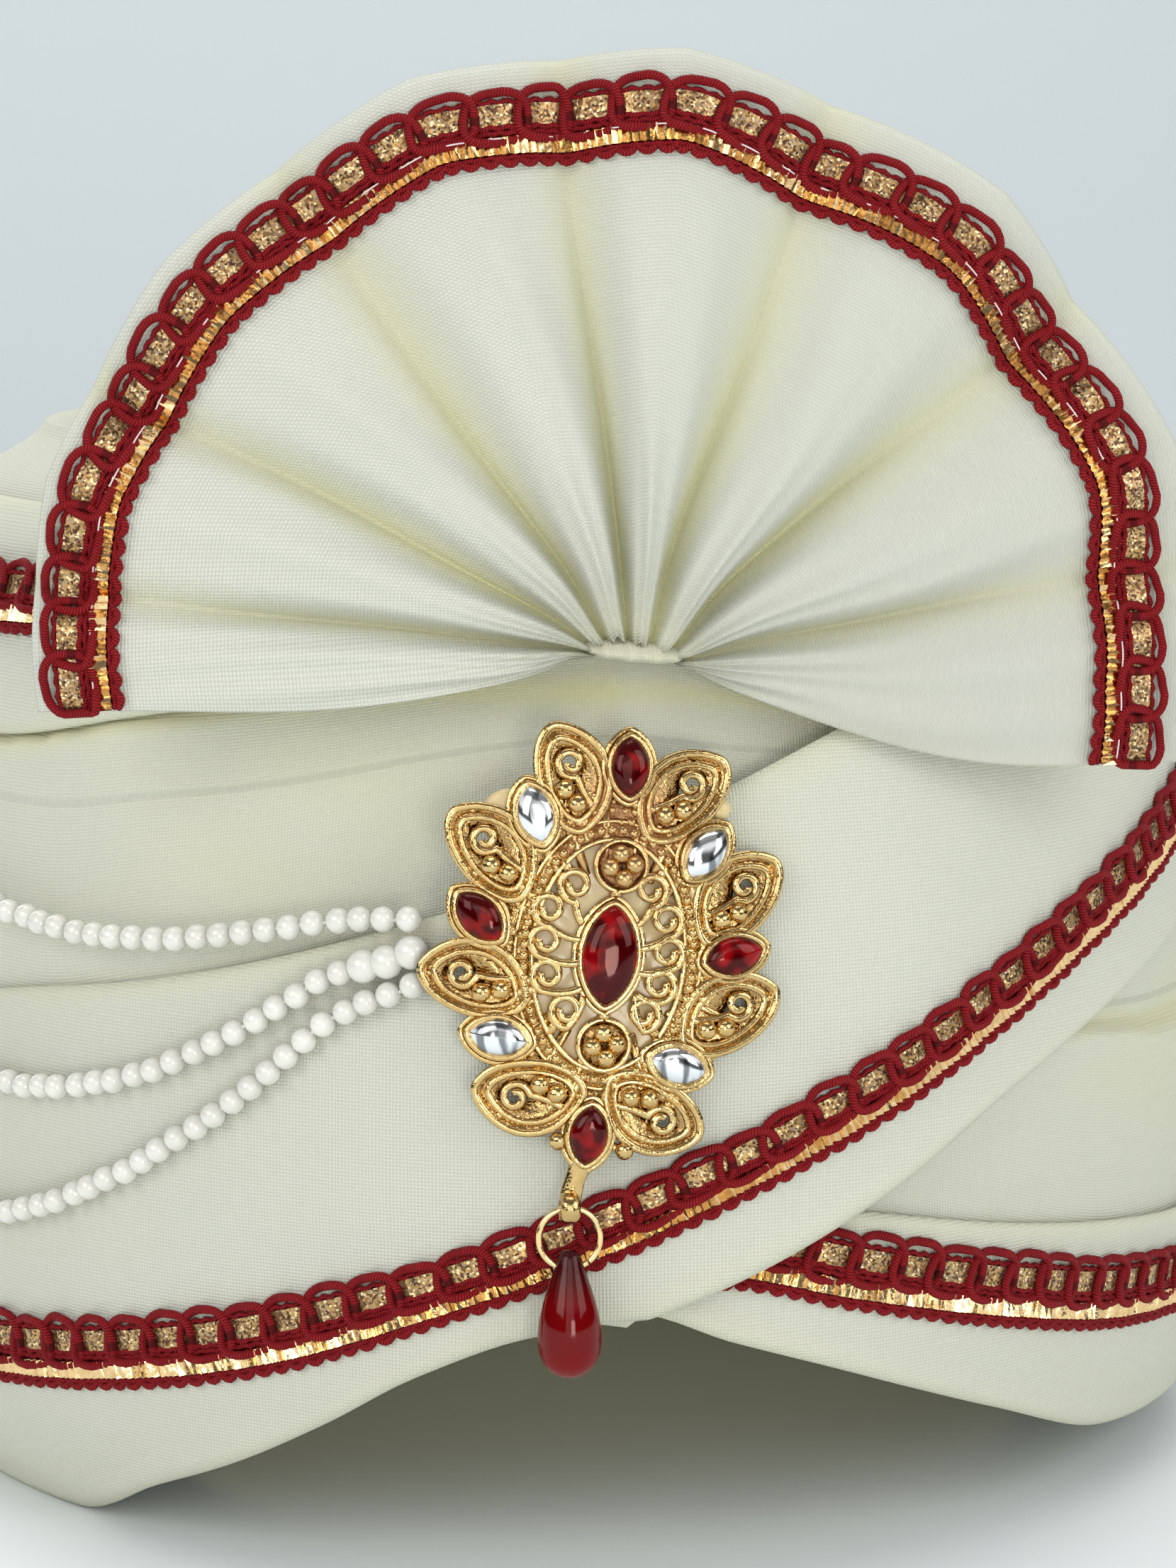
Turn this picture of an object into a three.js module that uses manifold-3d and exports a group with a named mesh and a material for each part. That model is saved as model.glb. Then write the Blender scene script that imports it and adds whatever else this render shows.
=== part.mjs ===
// A tied turban with a pleated fan, a pearl-hung brooch and laced edges.
// One long cloth edged with lace is wound twice round a padded roll on a cap.
// It starts at the middle of the forehead, runs low round the right, the back and the left,
// crosses its own start as it climbs to the right, and ends high behind the fan.
// Millimetres, +Z up. The wearer's forehead faces -Y, and the viewer's right is +X.
// Angles round the head are in degrees from the forehead, growing towards +X.
import * as THREE from 'three';
import { mergeVertices } from 'three/addons/utils/BufferGeometryUtils.js';
import Module from 'manifold-3d';

const wasm = await Module();
wasm.setup();

// Sizes of the wound body and the head opening
const halfWidth = 114;
const halfDepth = 127;
const crownHeight = 165;
const shoulderInset = 30;
const foreheadArch = 42;
const headHalfWidth = 81;
const headHalfDepth = 97;
const capWall = 2.5;
const capTop = 159;
const capRimLift = 3;
const pleatDepth = 3;
const pleatDrop = 1.4;

// Sizes of the long laced cloth
const clothWall = 1.6;
const laceWidth = 11.5;
const laceWall = 1.4;
const clothBulge = 0.8;
const bulgeSlope = 0.03;

// Sizes of the fan
const fanRadius = 85;
const fanKnotUp = 0.83;
const fanKnotHeight = fanKnotUp * crownHeight;
const fanKnotSide = 1;
const fanWall = 1.8;
const fanPleatDepth = 4.2;
const fanLean = 6;
const fanCurve = 8;
const fanLaceMargin = 2.6;
const fanGatherRadius = 5;
const knotSink = 1.3;

// Sizes of the brooch and what hangs from it
const broochSide = -4;
const broochHeight = 96;
const broochTurn = -7;
const broochPlate = 1.3;
const broochOvalHalfWidth = 12.6;
const broochOvalHalfHeight = 18.6;
const leafLength = 14;
const leafWidth = 8.2;
const rootWidth = 2.4;
const ovalRimWidth = 1.1;
const stoneLength = 8.2;
const stoneWidth = 4.3;
const centreStoneLength = 14;
const centreStoneWidth = 7.4;
const stoneRise = 1.7;
const bezelWall = 0.8;
const bezelRise = 1.1;
const bezelFloor = 0.5;
const ballSizes = { leaf: 1.0, cluster: 1.05 };
const glueWall = 1.1;
const tabWidth = 3;
const tabLength = 7.5;
const tabSide = -1.5;
const tabWall = 1.5;
const eyeHole = 1.25;
const ringRadius = 4.4;
const ringWire = 0.8;
const dropLength = 18.6;
const dropDiameter = 9.2;
const dropHole = 1.15;
const dropHoleDepth = 2.7;
const pearlDiameter = 3.8;
const stringFade = 8;

// Clearances and fineness
const gap = 0.4;
const closeGap = 0.3;
const stepsRound = 40;
const castFineness = 0.03;

const RIGHT_ANGLE = 90;
const FULL_TURN = 360;
const radians = THREE.MathUtils.degToRad;

// The padded roll's outline, seen from the front: height as a share of crownHeight,
// and how far it draws in from its widest size as a share of shoulderInset.
const rollOutline = [
  { up: 0.0, inset: 0.3 },
  { up: 0.04, inset: 0.17 },
  { up: 0.12, inset: 0.05 },
  { up: 0.25, inset: 0.0 },
  { up: 0.42, inset: 0.0 },
  { up: 0.57, inset: 0.05 },
  { up: 0.7, inset: 0.16 },
  { up: 0.8, inset: 0.28 },
  { up: 0.89, inset: 0.45 },
  { up: 0.95, inset: 0.66 },
  { up: 1.0, inset: 1.0 },
];

// The rim round the head: its height as a share of foreheadArch.
const rimLine = [
  { angle: 0, rise: 1.0 },
  { angle: 7.5, rise: 0.88 },
  { angle: 15, rise: 0.76 },
  { angle: 22.5, rise: 0.63 },
  { angle: 30, rise: 0.5 },
  { angle: 45, rise: 0.26 },
  { angle: 60, rise: 0.17 },
  { angle: 80, rise: 0.05 },
  { angle: 100, rise: 0.0 },
  { angle: 300, rise: 0.0 },
  { angle: 311, rise: 0.01 },
  { angle: 322.5, rise: 0.23 },
  { angle: 330, rise: 0.38 },
  { angle: 337.5, rise: 0.57 },
  { angle: 345, rise: 0.79 },
  { angle: 352.5, rise: 0.94 },
  { angle: 360, rise: 1.0 },
];

// Two folded edges in the roll, each lapping the cloth above it: height as a share of
// crownHeight and how far the fold stands out as a share of pleatDepth.
const lowerFold = [
  { angle: 0, up: 0.475, stand: 0 },
  { angle: 25, up: 0.475, stand: 0 },
  { angle: 40, up: 0.46, stand: 0.8 },
  { angle: 52, up: 0.44, stand: 1 },
  { angle: 90, up: 0.425, stand: 1 },
  { angle: 180, up: 0.435, stand: 1 },
  { angle: 262, up: 0.46, stand: 1 },
  { angle: 288, up: 0.47, stand: 0 },
  { angle: 360, up: 0.475, stand: 0 },
];
const upperFold = [
  { angle: 0, up: 0.79, stand: 0 },
  { angle: 45, up: 0.7, stand: 0 },
  { angle: 90, up: 0.625, stand: 0 },
  { angle: 112, up: 0.64, stand: 1 },
  { angle: 180, up: 0.67, stand: 1 },
  { angle: 270, up: 0.694, stand: 1 },
  { angle: 306, up: 0.722, stand: 1 },
  { angle: 321, up: 0.754, stand: 0.8 },
  { angle: 345, up: 0.79, stand: 0 },
  { angle: 360, up: 0.79, stand: 0 },
];

// The long cloth, one row for each stretch of its two turns. foot, lace and top are the
// heights of its lower edge, of its lace's middle and of its upper edge, as shares of
// crownHeight; lift is how many cloth walls lie under it there.
const clothRun = [
  { angle: -9, foot: 0.252, lace: 0.32, top: 0.375, lift: 0 },
  { angle: 7.5, foot: 0.224, lace: 0.309, top: 0.35, lift: 0 },
  { angle: 17, foot: 0.186, lace: 0.28, top: 0.333, lift: 0 },
  { angle: 30, foot: 0.127, lace: 0.241, top: 0.301, lift: 0 },
  { angle: 45, foot: 0.066, lace: 0.202, top: 0.27, lift: 0 },
  { angle: 60, foot: 0.043, lace: 0.18, top: 0.248, lift: 0 },
  { angle: 90, foot: 0.005, lace: 0.15, top: 0.24, lift: 0 },
  { angle: 135, foot: 0, lace: 0.133, top: 0.255, lift: 0 },
  { angle: 180, foot: 0, lace: 0.12, top: 0.28, lift: 0 },
  { angle: 225, foot: 0, lace: 0.12, top: 0.315, lift: 0 },
  { angle: 270, foot: 0, lace: 0.125, top: 0.39, lift: 0 },
  { angle: 290, foot: 0, lace: 0.14, top: 0.45, lift: 0 },
  { angle: 308, foot: 0.001, lace: 0.161, top: 0.5, lift: 0 },
  { angle: 322.5, foot: 0.058, lace: 0.191, top: 0.53, lift: 0 },
  { angle: 333, foot: 0.12, lace: 0.2225, top: 0.56, lift: 0.2 },
  { angle: 351, foot: 0.231, lace: 0.3035, top: 0.63, lift: 2.15 },
  { angle: 360, foot: 0.252, lace: 0.3495, top: 0.68, lift: 2.2 },
  { angle: 367.5, foot: 0.285, lace: 0.391, top: 0.72, lift: 2.2 },
  { angle: 378, foot: 0.347, lace: 0.452, top: 0.772, lift: 2.2 },
  { angle: 389, foot: 0.425, lace: 0.5215, top: 0.815, lift: 1.8 },
  { angle: 400, foot: 0.484, lace: 0.5855, top: 0.85, lift: 1.6 },
  { angle: 415, foot: 0.543, lace: 0.65, top: 0.885, lift: 0.8 },
  { angle: 432, foot: 0.593, lace: 0.698, top: 0.915, lift: 0.2 },
  { angle: 450, foot: 0.634, lace: 0.735, top: 0.93, lift: 0 },
  { angle: 472, foot: 0.65, lace: 0.755, top: 0.935, lift: 0 },
  { angle: 540, foot: 0.68, lace: 0.79, top: 0.94, lift: 0 },
  { angle: 630, foot: 0.704, lace: 0.835, top: 0.94, lift: 0 },
  { angle: 666, foot: 0.732, lace: 0.856, top: 0.94, lift: 0 },
  { angle: 681, foot: 0.764, lace: 0.862, top: 0.94, lift: 0 },
  { angle: 693, foot: 0.785, lace: 0.867, top: 0.94, lift: 0 },
];

// The cap's outline from its rim to the middle of its top.
const capOutline = [
  { out: 1.0, up: 0.78 },
  { out: 0.95, up: 0.9 },
  { out: 0.78, up: 0.97 },
  { out: 0.4, up: 0.995 },
];

// The fan's pleats from the viewer's left to the right: the angle of each crease round
// the knot, how far the cloth reaches and how far it stands forward of the fan's middle, how
// much its foot droops, and the bare cloth outside its lace as a share of fanLaceMargin.
const fanPleats = [
  { angle: 185, reach: 1.02, forward: 0.5, droop: 0.03, margin: 1.15 },
  { angle: 179, reach: 1.025, forward: 0.9, droop: 0.01, margin: 1.1 },
  { angle: 172.7, reach: 1.025, forward: -0.7, droop: 0, margin: 1 },
  { angle: 162.8, reach: 1.035, forward: 1, droop: 0, margin: 1 },
  { angle: 153, reach: 1.01, forward: -1, droop: 0, margin: 1 },
  { angle: 139.5, reach: 1.02, forward: 1, droop: 0, margin: 1 },
  { angle: 126, reach: 1.0, forward: -1, droop: 0, margin: 1.1 },
  { angle: 111, reach: 1.03, forward: 1, droop: 0, margin: 1.25 },
  { angle: 96.5, reach: 1.0, forward: -1, droop: 0, margin: 1.35 },
  { angle: 84.5, reach: 1.02, forward: 1, droop: 0, margin: 1.35 },
  { angle: 69, reach: 0.985, forward: -1, droop: 0, margin: 1.75 },
  { angle: 50, reach: 1.01, forward: 1, droop: 0, margin: 1.8 },
  { angle: 37.5, reach: 0.975, forward: -1, droop: 0, margin: 1.55 },
  { angle: 19.5, reach: 1.015, forward: 1, droop: 0, margin: 1.8 },
  { angle: 8, reach: 1.0, forward: -0.7, droop: 0, margin: 2.3 },
  { angle: -3, reach: 1.0, forward: 0.7, droop: 0.02, margin: 2.4 },
  { angle: -11.5, reach: 1.01, forward: 0.2, droop: 0.06, margin: 2.3 },
];
const fanStepsPerCrease = 2;
// How strongly the pleats stand at each distance from the knot, as shares of the radius.
const fanFullness = [
  { out: 0, full: 0.45 },
  { out: 0.2, full: 0.8 },
  { out: 0.45, full: 1 },
  { out: 0.75, full: 0.75 },
  { out: 1, full: 0.5 },
];

// The brooch's ring of stones and the leaves between them, round the middle stone:
// angle and reach place each one's middle, and turn is the slant of its long axis.
const stoneRing = [
  { name: 'top', angle: 82.6, reach: 1.0, turn: 87, colour: 'ruby' },
  { name: 'upper_right', angle: 45, reach: 0.745, turn: 50, colour: 'clear' },
  { name: 'right', angle: -1.4, reach: 0.67, turn: 12, colour: 'ruby' },
  { name: 'lower_right', angle: -58.6, reach: 0.69, turn: -18, colour: 'clear' },
  { name: 'bottom', angle: 262.8, reach: 0.955, turn: 82, colour: 'ruby' },
  { name: 'lower_left', angle: 215.5, reach: 0.725, turn: -11, colour: 'clear' },
  { name: 'left', angle: 162.2, reach: 0.715, turn: -49, colour: 'ruby' },
  { name: 'upper_left', angle: 116.7, reach: 0.84, turn: -76, colour: 'clear' },
];
const stoneRingReach = 26.8;
const leafRing = [
  { angle: 100.5, reach: 0.96, turn: 103, hand: 1 },
  { angle: 64, reach: 0.93, turn: 42, hand: -1 },
  { angle: 22.5, reach: 0.75, turn: 47, hand: -1 },
  { angle: -27, reach: 0.715, turn: 30, hand: -1 },
  { angle: -75.5, reach: 0.87, turn: -33, hand: 1 },
  { angle: 239.8, reach: 0.85, turn: 178, hand: -1 },
  { angle: 189, reach: 0.715, turn: 160, hand: 1 },
  { angle: 137, reach: 0.825, turn: 127, hand: 1 },
];
// Openings between the scrolls of the middle oval, as shares of its half sizes.
const scrollGaps = [
  { side: 0.36, up: 0.56, turn: 60 },
  { side: 0.62, up: 0.34, turn: 30 },
  { side: 0.7, up: 0.04, turn: 0 },
  { side: 0.62, up: -0.27, turn: -30 },
  { side: 0.36, up: -0.5, turn: -60 },
];
const scrollGapLength = 5.2;
const scrollGapWidth = 2.6;
const clusterHeights = [0.72, -0.66];

// The three pearl strings, from the brooch round the viewer's left to a stitch behind:
// angle round the head and height as a share of crownHeight. Their points are chosen by hand.
const pearlStrings = [
  {
    name: 'pearl_string_upper',
    route: [
      { angle: -14.5, up: 0.611 }, { angle: -20.5, up: 0.604 }, { angle: -27, up: 0.589 },
      { angle: -35, up: 0.572 }, { angle: -43, up: 0.571 }, { angle: -51, up: 0.582 },
      { angle: -62, up: 0.604 }, { angle: -74, up: 0.63 }, { angle: -86, up: 0.66 },
      { angle: -96, up: 0.682 },
    ],
  },
  {
    name: 'pearl_string_middle',
    route: [
      { angle: -14.5, up: 0.588 }, { angle: -21.4, up: 0.556 }, { angle: -29, up: 0.493 },
      { angle: -37, up: 0.445 }, { angle: -46, up: 0.421 }, { angle: -55, up: 0.423 },
      { angle: -65, up: 0.449 }, { angle: -76, up: 0.503 }, { angle: -87, up: 0.583 },
      { angle: -96, up: 0.652 },
    ],
  },
  {
    name: 'pearl_string_lower',
    route: [
      { angle: -14.5, up: 0.561 }, { angle: -21, up: 0.522 }, { angle: -28, up: 0.442 },
      { angle: -37.5, up: 0.36 }, { angle: -47.5, up: 0.303 }, { angle: -58, up: 0.277 },
      { angle: -68, up: 0.288 }, { angle: -78, up: 0.35 }, { angle: -88, up: 0.47 },
      { angle: -96, up: 0.62 },
    ],
  },
];
const stepsAlongString = 17;
const stepsRoundString = 8;

const ivoryCloth = { color: 0xe9e6d2, roughness: 0.86, metalness: 0 };
const ivoryLining = { color: 0xded9c0, roughness: 0.92, metalness: 0 };
const redLace = { color: 0x7c1016, roughness: 0.7, metalness: 0.1 };
const castGold = { color: 0xd9a441, roughness: 0.28, metalness: 1 };
const rubyPlastic = { color: 0x7d0a10, roughness: 0.12, metalness: 0 };
const clearPlastic = { color: 0xd7dadd, roughness: 0.08, metalness: 0.6 };
const pearlWhite = { color: 0xf0ede6, roughness: 0.25, metalness: 0 };
const amberGlue = { color: 0xdcc795, roughness: 0.45, metalness: 0 };

// Reads a column of a table at any key, along a smooth curve that never overshoots.
function read(table, key, column, at) {
  const last = table.length - 1;
  if (at <= table[0][key]) return table[0][column];
  if (at >= table[last][key]) return table[last][column];
  let i = 0;
  while (table[i + 1][key] < at) i += 1;
  const slope = (k) => {
    if (k < 0 || k >= last) return 0;
    return (table[k + 1][column] - table[k][column]) / (table[k + 1][key] - table[k][key]);
  };
  const bend = (k) => {
    const before = slope(k - 1);
    const after = slope(k);
    return before * after <= 0 ? 0 : (2 * before * after) / (before + after);
  };
  const span = table[i + 1][key] - table[i][key];
  const t = (at - table[i][key]) / span;
  const rise = table[i + 1][column] - table[i][column];
  const start = bend(i) * span;
  const end = bend(i + 1) * span;
  const t2 = t * t;
  const t3 = t2 * t;
  return table[i][column] + start * (t3 - 2 * t2 + t) + rise * (3 * t2 - 2 * t3) + end * (t3 - t2);
}

function wrapAngle(angle) {
  return ((angle % FULL_TURN) + FULL_TURN) % FULL_TURN;
}

// A point on the roll's smooth outside, stand millimetres off it.
function onRoll(angle, height, stand) {
  const inset = read(rollOutline, 'up', 'inset', height / crownHeight) * shoulderInset;
  const turn = radians(angle);
  return new THREE.Vector3(
    (halfWidth - inset + stand) * Math.sin(turn),
    -(halfDepth - inset + stand) * Math.cos(turn),
    height,
  );
}

function rimHeight(angle) {
  return read(rimLine, 'angle', 'rise', wrapAngle(angle)) * foreheadArch;
}

// A mesh of given points and triangles, without normals or uvs.
function geometryOf(points, triangles) {
  const geometry = new THREE.BufferGeometry();
  geometry.setAttribute('position', new THREE.Float32BufferAttribute(points.flatMap((p) => [p.x, p.y, p.z]), 3));
  geometry.setIndex(triangles);
  return geometry;
}

// A wall between two grids of points of the same size, closed along its four edges.
function wallBetween(outer, inner) {
  const across = outer[0].length;
  const points = [...outer.flat(), ...inner.flat()];
  const back = outer.length * across;
  const triangles = [];
  const quad = (a, b, c, d) => triangles.push(a, b, c, a, c, d);
  const at = (i, j) => i * across + j;
  for (let i = 0; i + 1 < outer.length; i += 1) {
    for (let j = 0; j + 1 < across; j += 1) {
      quad(at(i, j), at(i + 1, j), at(i + 1, j + 1), at(i, j + 1));
      quad(back + at(i, j), back + at(i, j + 1), back + at(i + 1, j + 1), back + at(i + 1, j));
    }
    quad(at(i, 0), back + at(i, 0), back + at(i + 1, 0), at(i + 1, 0));
    const top = across - 1;
    quad(at(i, top), at(i + 1, top), back + at(i + 1, top), back + at(i, top));
  }
  const end = outer.length - 1;
  for (let j = 0; j + 1 < across; j += 1) {
    quad(at(0, j), at(0, j + 1), back + at(0, j + 1), back + at(0, j));
    quad(at(end, j), back + at(end, j), back + at(end, j + 1), at(end, j + 1));
  }
  return geometryOf(points, triangles);
}

// A ring whose cross-section at each step round the head is a closed loop of points.
function ringOf(sections) {
  const sides = sections[0].length;
  const triangles = [];
  sections.forEach((section, i) => {
    const next = (i + 1) % sections.length;
    section.forEach((point, j) => {
      const up = (j + 1) % sides;
      triangles.push(i * sides + j, next * sides + j, next * sides + up);
      triangles.push(i * sides + j, next * sides + up, i * sides + up);
    });
  });
  return geometryOf(sections.flat(), triangles);
}

function solidOf(geometry) {
  const bare = geometry.clone();
  bare.deleteAttribute('normal');
  bare.deleteAttribute('uv');
  const merged = mergeVertices(bare, 1e-4);
  return new wasm.Manifold(new wasm.Mesh({
    numProp: 3,
    vertProperties: merged.attributes.position.array,
    triVerts: new Uint32Array(merged.index.array),
  }));
}

function geometryOfSolid(solid) {
  const mesh = solid.getMesh();
  const geometry = new THREE.BufferGeometry();
  geometry.setAttribute('position', new THREE.BufferAttribute(mesh.vertProperties, 3));
  geometry.setIndex(new THREE.BufferAttribute(mesh.triVerts, 1));
  return geometry;
}

function meshOf(name, geometry, look) {
  const mesh = new THREE.Mesh(geometry, new THREE.MeshStandardMaterial(look));
  mesh.name = name;
  return mesh;
}

// The points of the cap's outline at one angle, a wall's thickness in or out of it.
function capLine(angle, outward, rim) {
  const turn = radians(angle);
  const rows = [{ out: 1, up: rim / capTop }, ...capOutline];
  return rows.map((row, i) => {
    const before = rows[Math.max(i - 1, 0)];
    const after = rows[Math.min(i + 1, rows.length - 1)];
    const along = new THREE.Vector2(
      (after.out - before.out) * headHalfWidth,
      (after.up - before.up) * capTop,
    ).normalize();
    const side = i < 2 ? outward : outward * along.y;
    const lift = i < 2 ? 0 : -outward * along.x;
    return new THREE.Vector3(
      (row.out * (headHalfWidth + capWall) + side) * Math.sin(turn),
      -(row.out * (headHalfDepth + capWall) + side) * Math.cos(turn),
      row.up * capTop + lift,
    );
  });
}

function roundAngles() {
  return Array.from({ length: stepsRound }, (unused, i) => (i * FULL_TURN) / stepsRound);
}

// The cap that the cloth is wound on, open below for the head.
function crownCap() {
  const points = [];
  const triangles = [];
  const lines = roundAngles().map((angle) => {
    const rim = rimHeight(angle) + capRimLift;
    return [...capLine(angle, 0, rim), ...capLine(angle, -capWall, rim).reverse()];
  });
  const sides = lines[0].length;
  const half = sides / 2;
  lines.forEach((line) => points.push(...line));
  const outerTop = points.push(new THREE.Vector3(0, 0, capTop)) - 1;
  const innerTop = points.push(new THREE.Vector3(0, 0, capTop - capWall)) - 1;
  lines.forEach((line, i) => {
    const next = (i + 1) % lines.length;
    for (let j = 0; j < sides; j += 1) {
      const up = (j + 1) % sides;
      if (j !== half - 1) {
        triangles.push(i * sides + j, next * sides + j, next * sides + up);
        triangles.push(i * sides + j, next * sides + up, i * sides + up);
      }
    }
    triangles.push(i * sides + half - 1, next * sides + half - 1, outerTop);
    triangles.push(next * sides + half, i * sides + half, innerTop);
  });
  return meshOf('crown_cap', geometryOf(points, triangles), ivoryLining);
}

// The long cloth's rows at an angle of its two turns: heights, and its lift off the roll.
// Its first turn follows the rim round the head.
function clothRow(angle) {
  const value = (column) => read(clothRun, 'angle', column, angle);
  const onRim = angle >= 0 && angle <= FULL_TURN;
  const foot = onRim ? rimHeight(angle) : value('foot') * crownHeight;
  const lace = value('lace') * crownHeight;
  const top = value('top') * crownHeight;
  const step = FULL_TURN / stepsRound;
  const laceAt = (at) => read(clothRun, 'angle', 'lace', at) * crownHeight;
  const climb = (laceAt(angle + step) - laceAt(angle - step)) / (2 * radians(step) * halfWidth);
  const halfLace = (laceWidth / 2) * Math.hypot(1, climb);
  const low = lace - halfLace;
  const high = lace + halfLace;
  return {
    heights: [foot, (foot + low) / 2, low, high, (high + top) / 2, top],
    swells: [0, 0, 0, 0, Math.min(clothBulge, (top - high) * bulgeSlope), 0],
    lift: gap + value('lift') * (clothWall + closeGap),
  };
}
const laceRows = { from: 2, to: 3 };
const clothTopRow = 5;

// The padded roll of wound cloth between the cap and the long laced cloth. Under the
// cloth its rows lie where the cloth's do; above it each fold swells to a dropped edge.
function woundRoll() {
  const leastStep = 2;
  const sections = roundAngles().map((angle) => {
    const under = clothRow(angle);
    const over = clothRow(angle + FULL_TURN);
    const foot = rimHeight(angle);
    const lower = read(lowerFold, 'angle', 'up', angle) * crownHeight;
    const upper = read(upperFold, 'angle', 'up', angle) * crownHeight;
    const lowerStand = read(lowerFold, 'angle', 'stand', angle) * pleatDepth;
    const upperStand = read(upperFold, 'angle', 'stand', angle) * pleatDepth;
    const bare = Math.min(under.heights[clothTopRow] + clothWall, lower - leastStep);
    const outside = [onRoll(angle, foot, -2 * closeGap)];
    under.heights.slice(1).forEach((height, k) => {
      const tuck = k === 0 ? 2 * closeGap : closeGap;
      outside.push(onRoll(angle, Math.min(height, bare - (clothTopRow - k) * clothWall), -tuck));
    });
    outside.push(onRoll(angle, bare, 0));
    outside.push(onRoll(angle, (bare + lower) / 2, lowerStand * 0.6));
    outside.push(onRoll(angle, lower, lowerStand));
    outside.push(onRoll(angle, lower + pleatDrop, 0));
    const free = Math.max(lower + pleatDrop + leastStep, under.heights[clothTopRow] + clothWall);
    outside.push(onRoll(angle, free, 0));
    outside.push(onRoll(angle, (free + upper) / 2, upperStand * 0.55));
    outside.push(onRoll(angle, upper, upperStand));
    over.heights.forEach((height, k) => {
      outside.push(onRoll(angle, Math.max(height, upper + pleatDrop + k * leastStep), -closeGap));
    });
    const shoulder = outside[outside.length - 1].z;
    [0.5, 1].forEach((share) => {
      outside.push(onRoll(angle, shoulder + (crownHeight - shoulder) * share, 0));
    });
    const inside = capLine(angle, gap, foot).slice(0, -1).reverse();
    return [...outside, ...inside];
  });
  return meshOf('wound_roll', ringOf(sections), ivoryCloth);
}

function clothGrid(rowsFrom, rowsTo, outward) {
  const step = FULL_TURN / stepsRound;
  const first = Math.round(clothRun[0].angle / step) * step;
  const count = Math.round((clothRun[clothRun.length - 1].angle - first) / step);
  return Array.from({ length: count + 1 }, (unused, i) => {
    const angle = first + i * step;
    const row = clothRow(angle);
    const points = [];
    for (let j = rowsFrom; j <= rowsTo; j += 1) {
      points.push(onRoll(angle, row.heights[j], row.lift + row.swells[j] + outward));
    }
    return points;
  });
}

// The long laced cloth, wound twice round the roll, and the lace sewn along its lower edge.
function longCloth() {
  return meshOf(
    'long_cloth',
    wallBetween(clothGrid(0, clothTopRow, clothWall), clothGrid(0, clothTopRow, 0)),
    ivoryCloth,
  );
}

function clothLace() {
  const seat = clothWall + closeGap;
  const { from, to } = laceRows;
  return meshOf('cloth_lace', wallBetween(clothGrid(from, to, seat + laceWall), clothGrid(from, to, seat)), redLace);
}

const knotSeat = onRoll(0, fanKnotHeight, gap + 2 * closeGap);
const fanBack = -knotSeat.y + fanPleatDepth + fanWall / 2;

// A point of the fan: its direction round the knot, its distance as a share of the
// cloth's reach there, and how far it stands forward of the cloth's middle.
function onFan(angle, reach, out, forward, droop, stand) {
  const radius = fanGatherRadius + (reach - fanGatherRadius) * out;
  const turn = radians(angle);
  const side = radius * Math.cos(turn);
  const up = radius * Math.sin(turn) - droop * fanRadius * Math.sin(Math.PI * out);
  const full = read(fanFullness, 'out', 'full', out) * fanPleatDepth;
  const lean = Math.max(up, 0) * Math.tan(radians(fanLean));
  const curve = fanCurve * (side / fanRadius) ** 2;
  return new THREE.Vector3(fanKnotSide + side, -fanBack + lean + curve - forward * full - stand, fanKnotHeight + up);
}

// The fan's grid. Between two creases the cloth bows out a little, as a stiffened pleat does.
function fanGrid(rows, stand) {
  const lines = [];
  fanPleats.forEach((pleat, i) => {
    const next = fanPleats[Math.min(i + 1, fanPleats.length - 1)];
    const steps = i + 1 < fanPleats.length ? fanStepsPerCrease : 1;
    for (let k = 0; k < steps; k += 1) {
      const t = k / steps;
      const ease = pleat.forward > next.forward ? t * t : 1 - (1 - t) * (1 - t);
      const mix = (column, share) => pleat[column] + (next[column] - pleat[column]) * share;
      const reach = mix('reach', t) * fanRadius;
      const laceOuter = 1 - (mix('margin', t) * fanLaceMargin) / (reach - fanGatherRadius);
      const laceInner = laceOuter - laceWidth / (reach - fanGatherRadius);
      const outs = { knot: 0, near: 0.25, far: 0.6, laceInner, laceOuter, edge: 1 };
      lines.push(rows.map((row) => (
        onFan(mix('angle', t), reach, outs[row], mix('forward', ease), mix('droop', t), stand)
      )));
    }
  });
  return lines;
}

function fan() {
  const rows = ['knot', 'near', 'far', 'laceInner', 'laceOuter', 'edge'];
  return meshOf('fan', wallBetween(fanGrid(rows, fanWall / 2), fanGrid(rows, -fanWall / 2)), ivoryCloth);
}

function fanLace() {
  const rows = ['laceInner', 'laceOuter'];
  const seat = fanWall / 2 + closeGap;
  return meshOf('fan_lace', wallBetween(fanGrid(rows, seat + laceWall), fanGrid(rows, seat)), redLace);
}

// The stitched gather that fills the fan's foot and holds it against the roll.
function fanKnot() {
  const shape = new THREE.SphereGeometry(1, 10, 6);
  const reach = fanGatherRadius - gap;
  shape.scale(reach, fanPleatDepth + fanWall / 2 + gap + closeGap - knotSink, reach);
  const knot = meshOf('fan_knot', shape, ivoryCloth);
  knot.position.set(fanKnotSide, -fanBack + knotSink, fanKnotHeight);
  return knot;
}

// The brooch lies tilted back on the cloth, bent to follow it.
const broochLow = onRoll(0, broochHeight - stoneRingReach, 0);
const broochHigh = onRoll(0, broochHeight + stoneRingReach, 0);
const broochMiddle = onRoll(0, broochHeight, 0);
const broochTilt = Math.atan2(broochHigh.y - broochLow.y, broochHigh.z - broochLow.z);
const clothOverBrooch = clothRow(FULL_TURN);
const broochSeat = clothOverBrooch.lift + clothBulge + clothWall + glueWall + 4 * closeGap;
const bendAcross = (halfWidth * halfWidth) / halfDepth;
const chordMiddle = (broochLow.y + broochHigh.y) / 2;
const bendUp = stoneRingReach ** 2 / (2 * (chordMiddle - broochMiddle.y));

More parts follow.
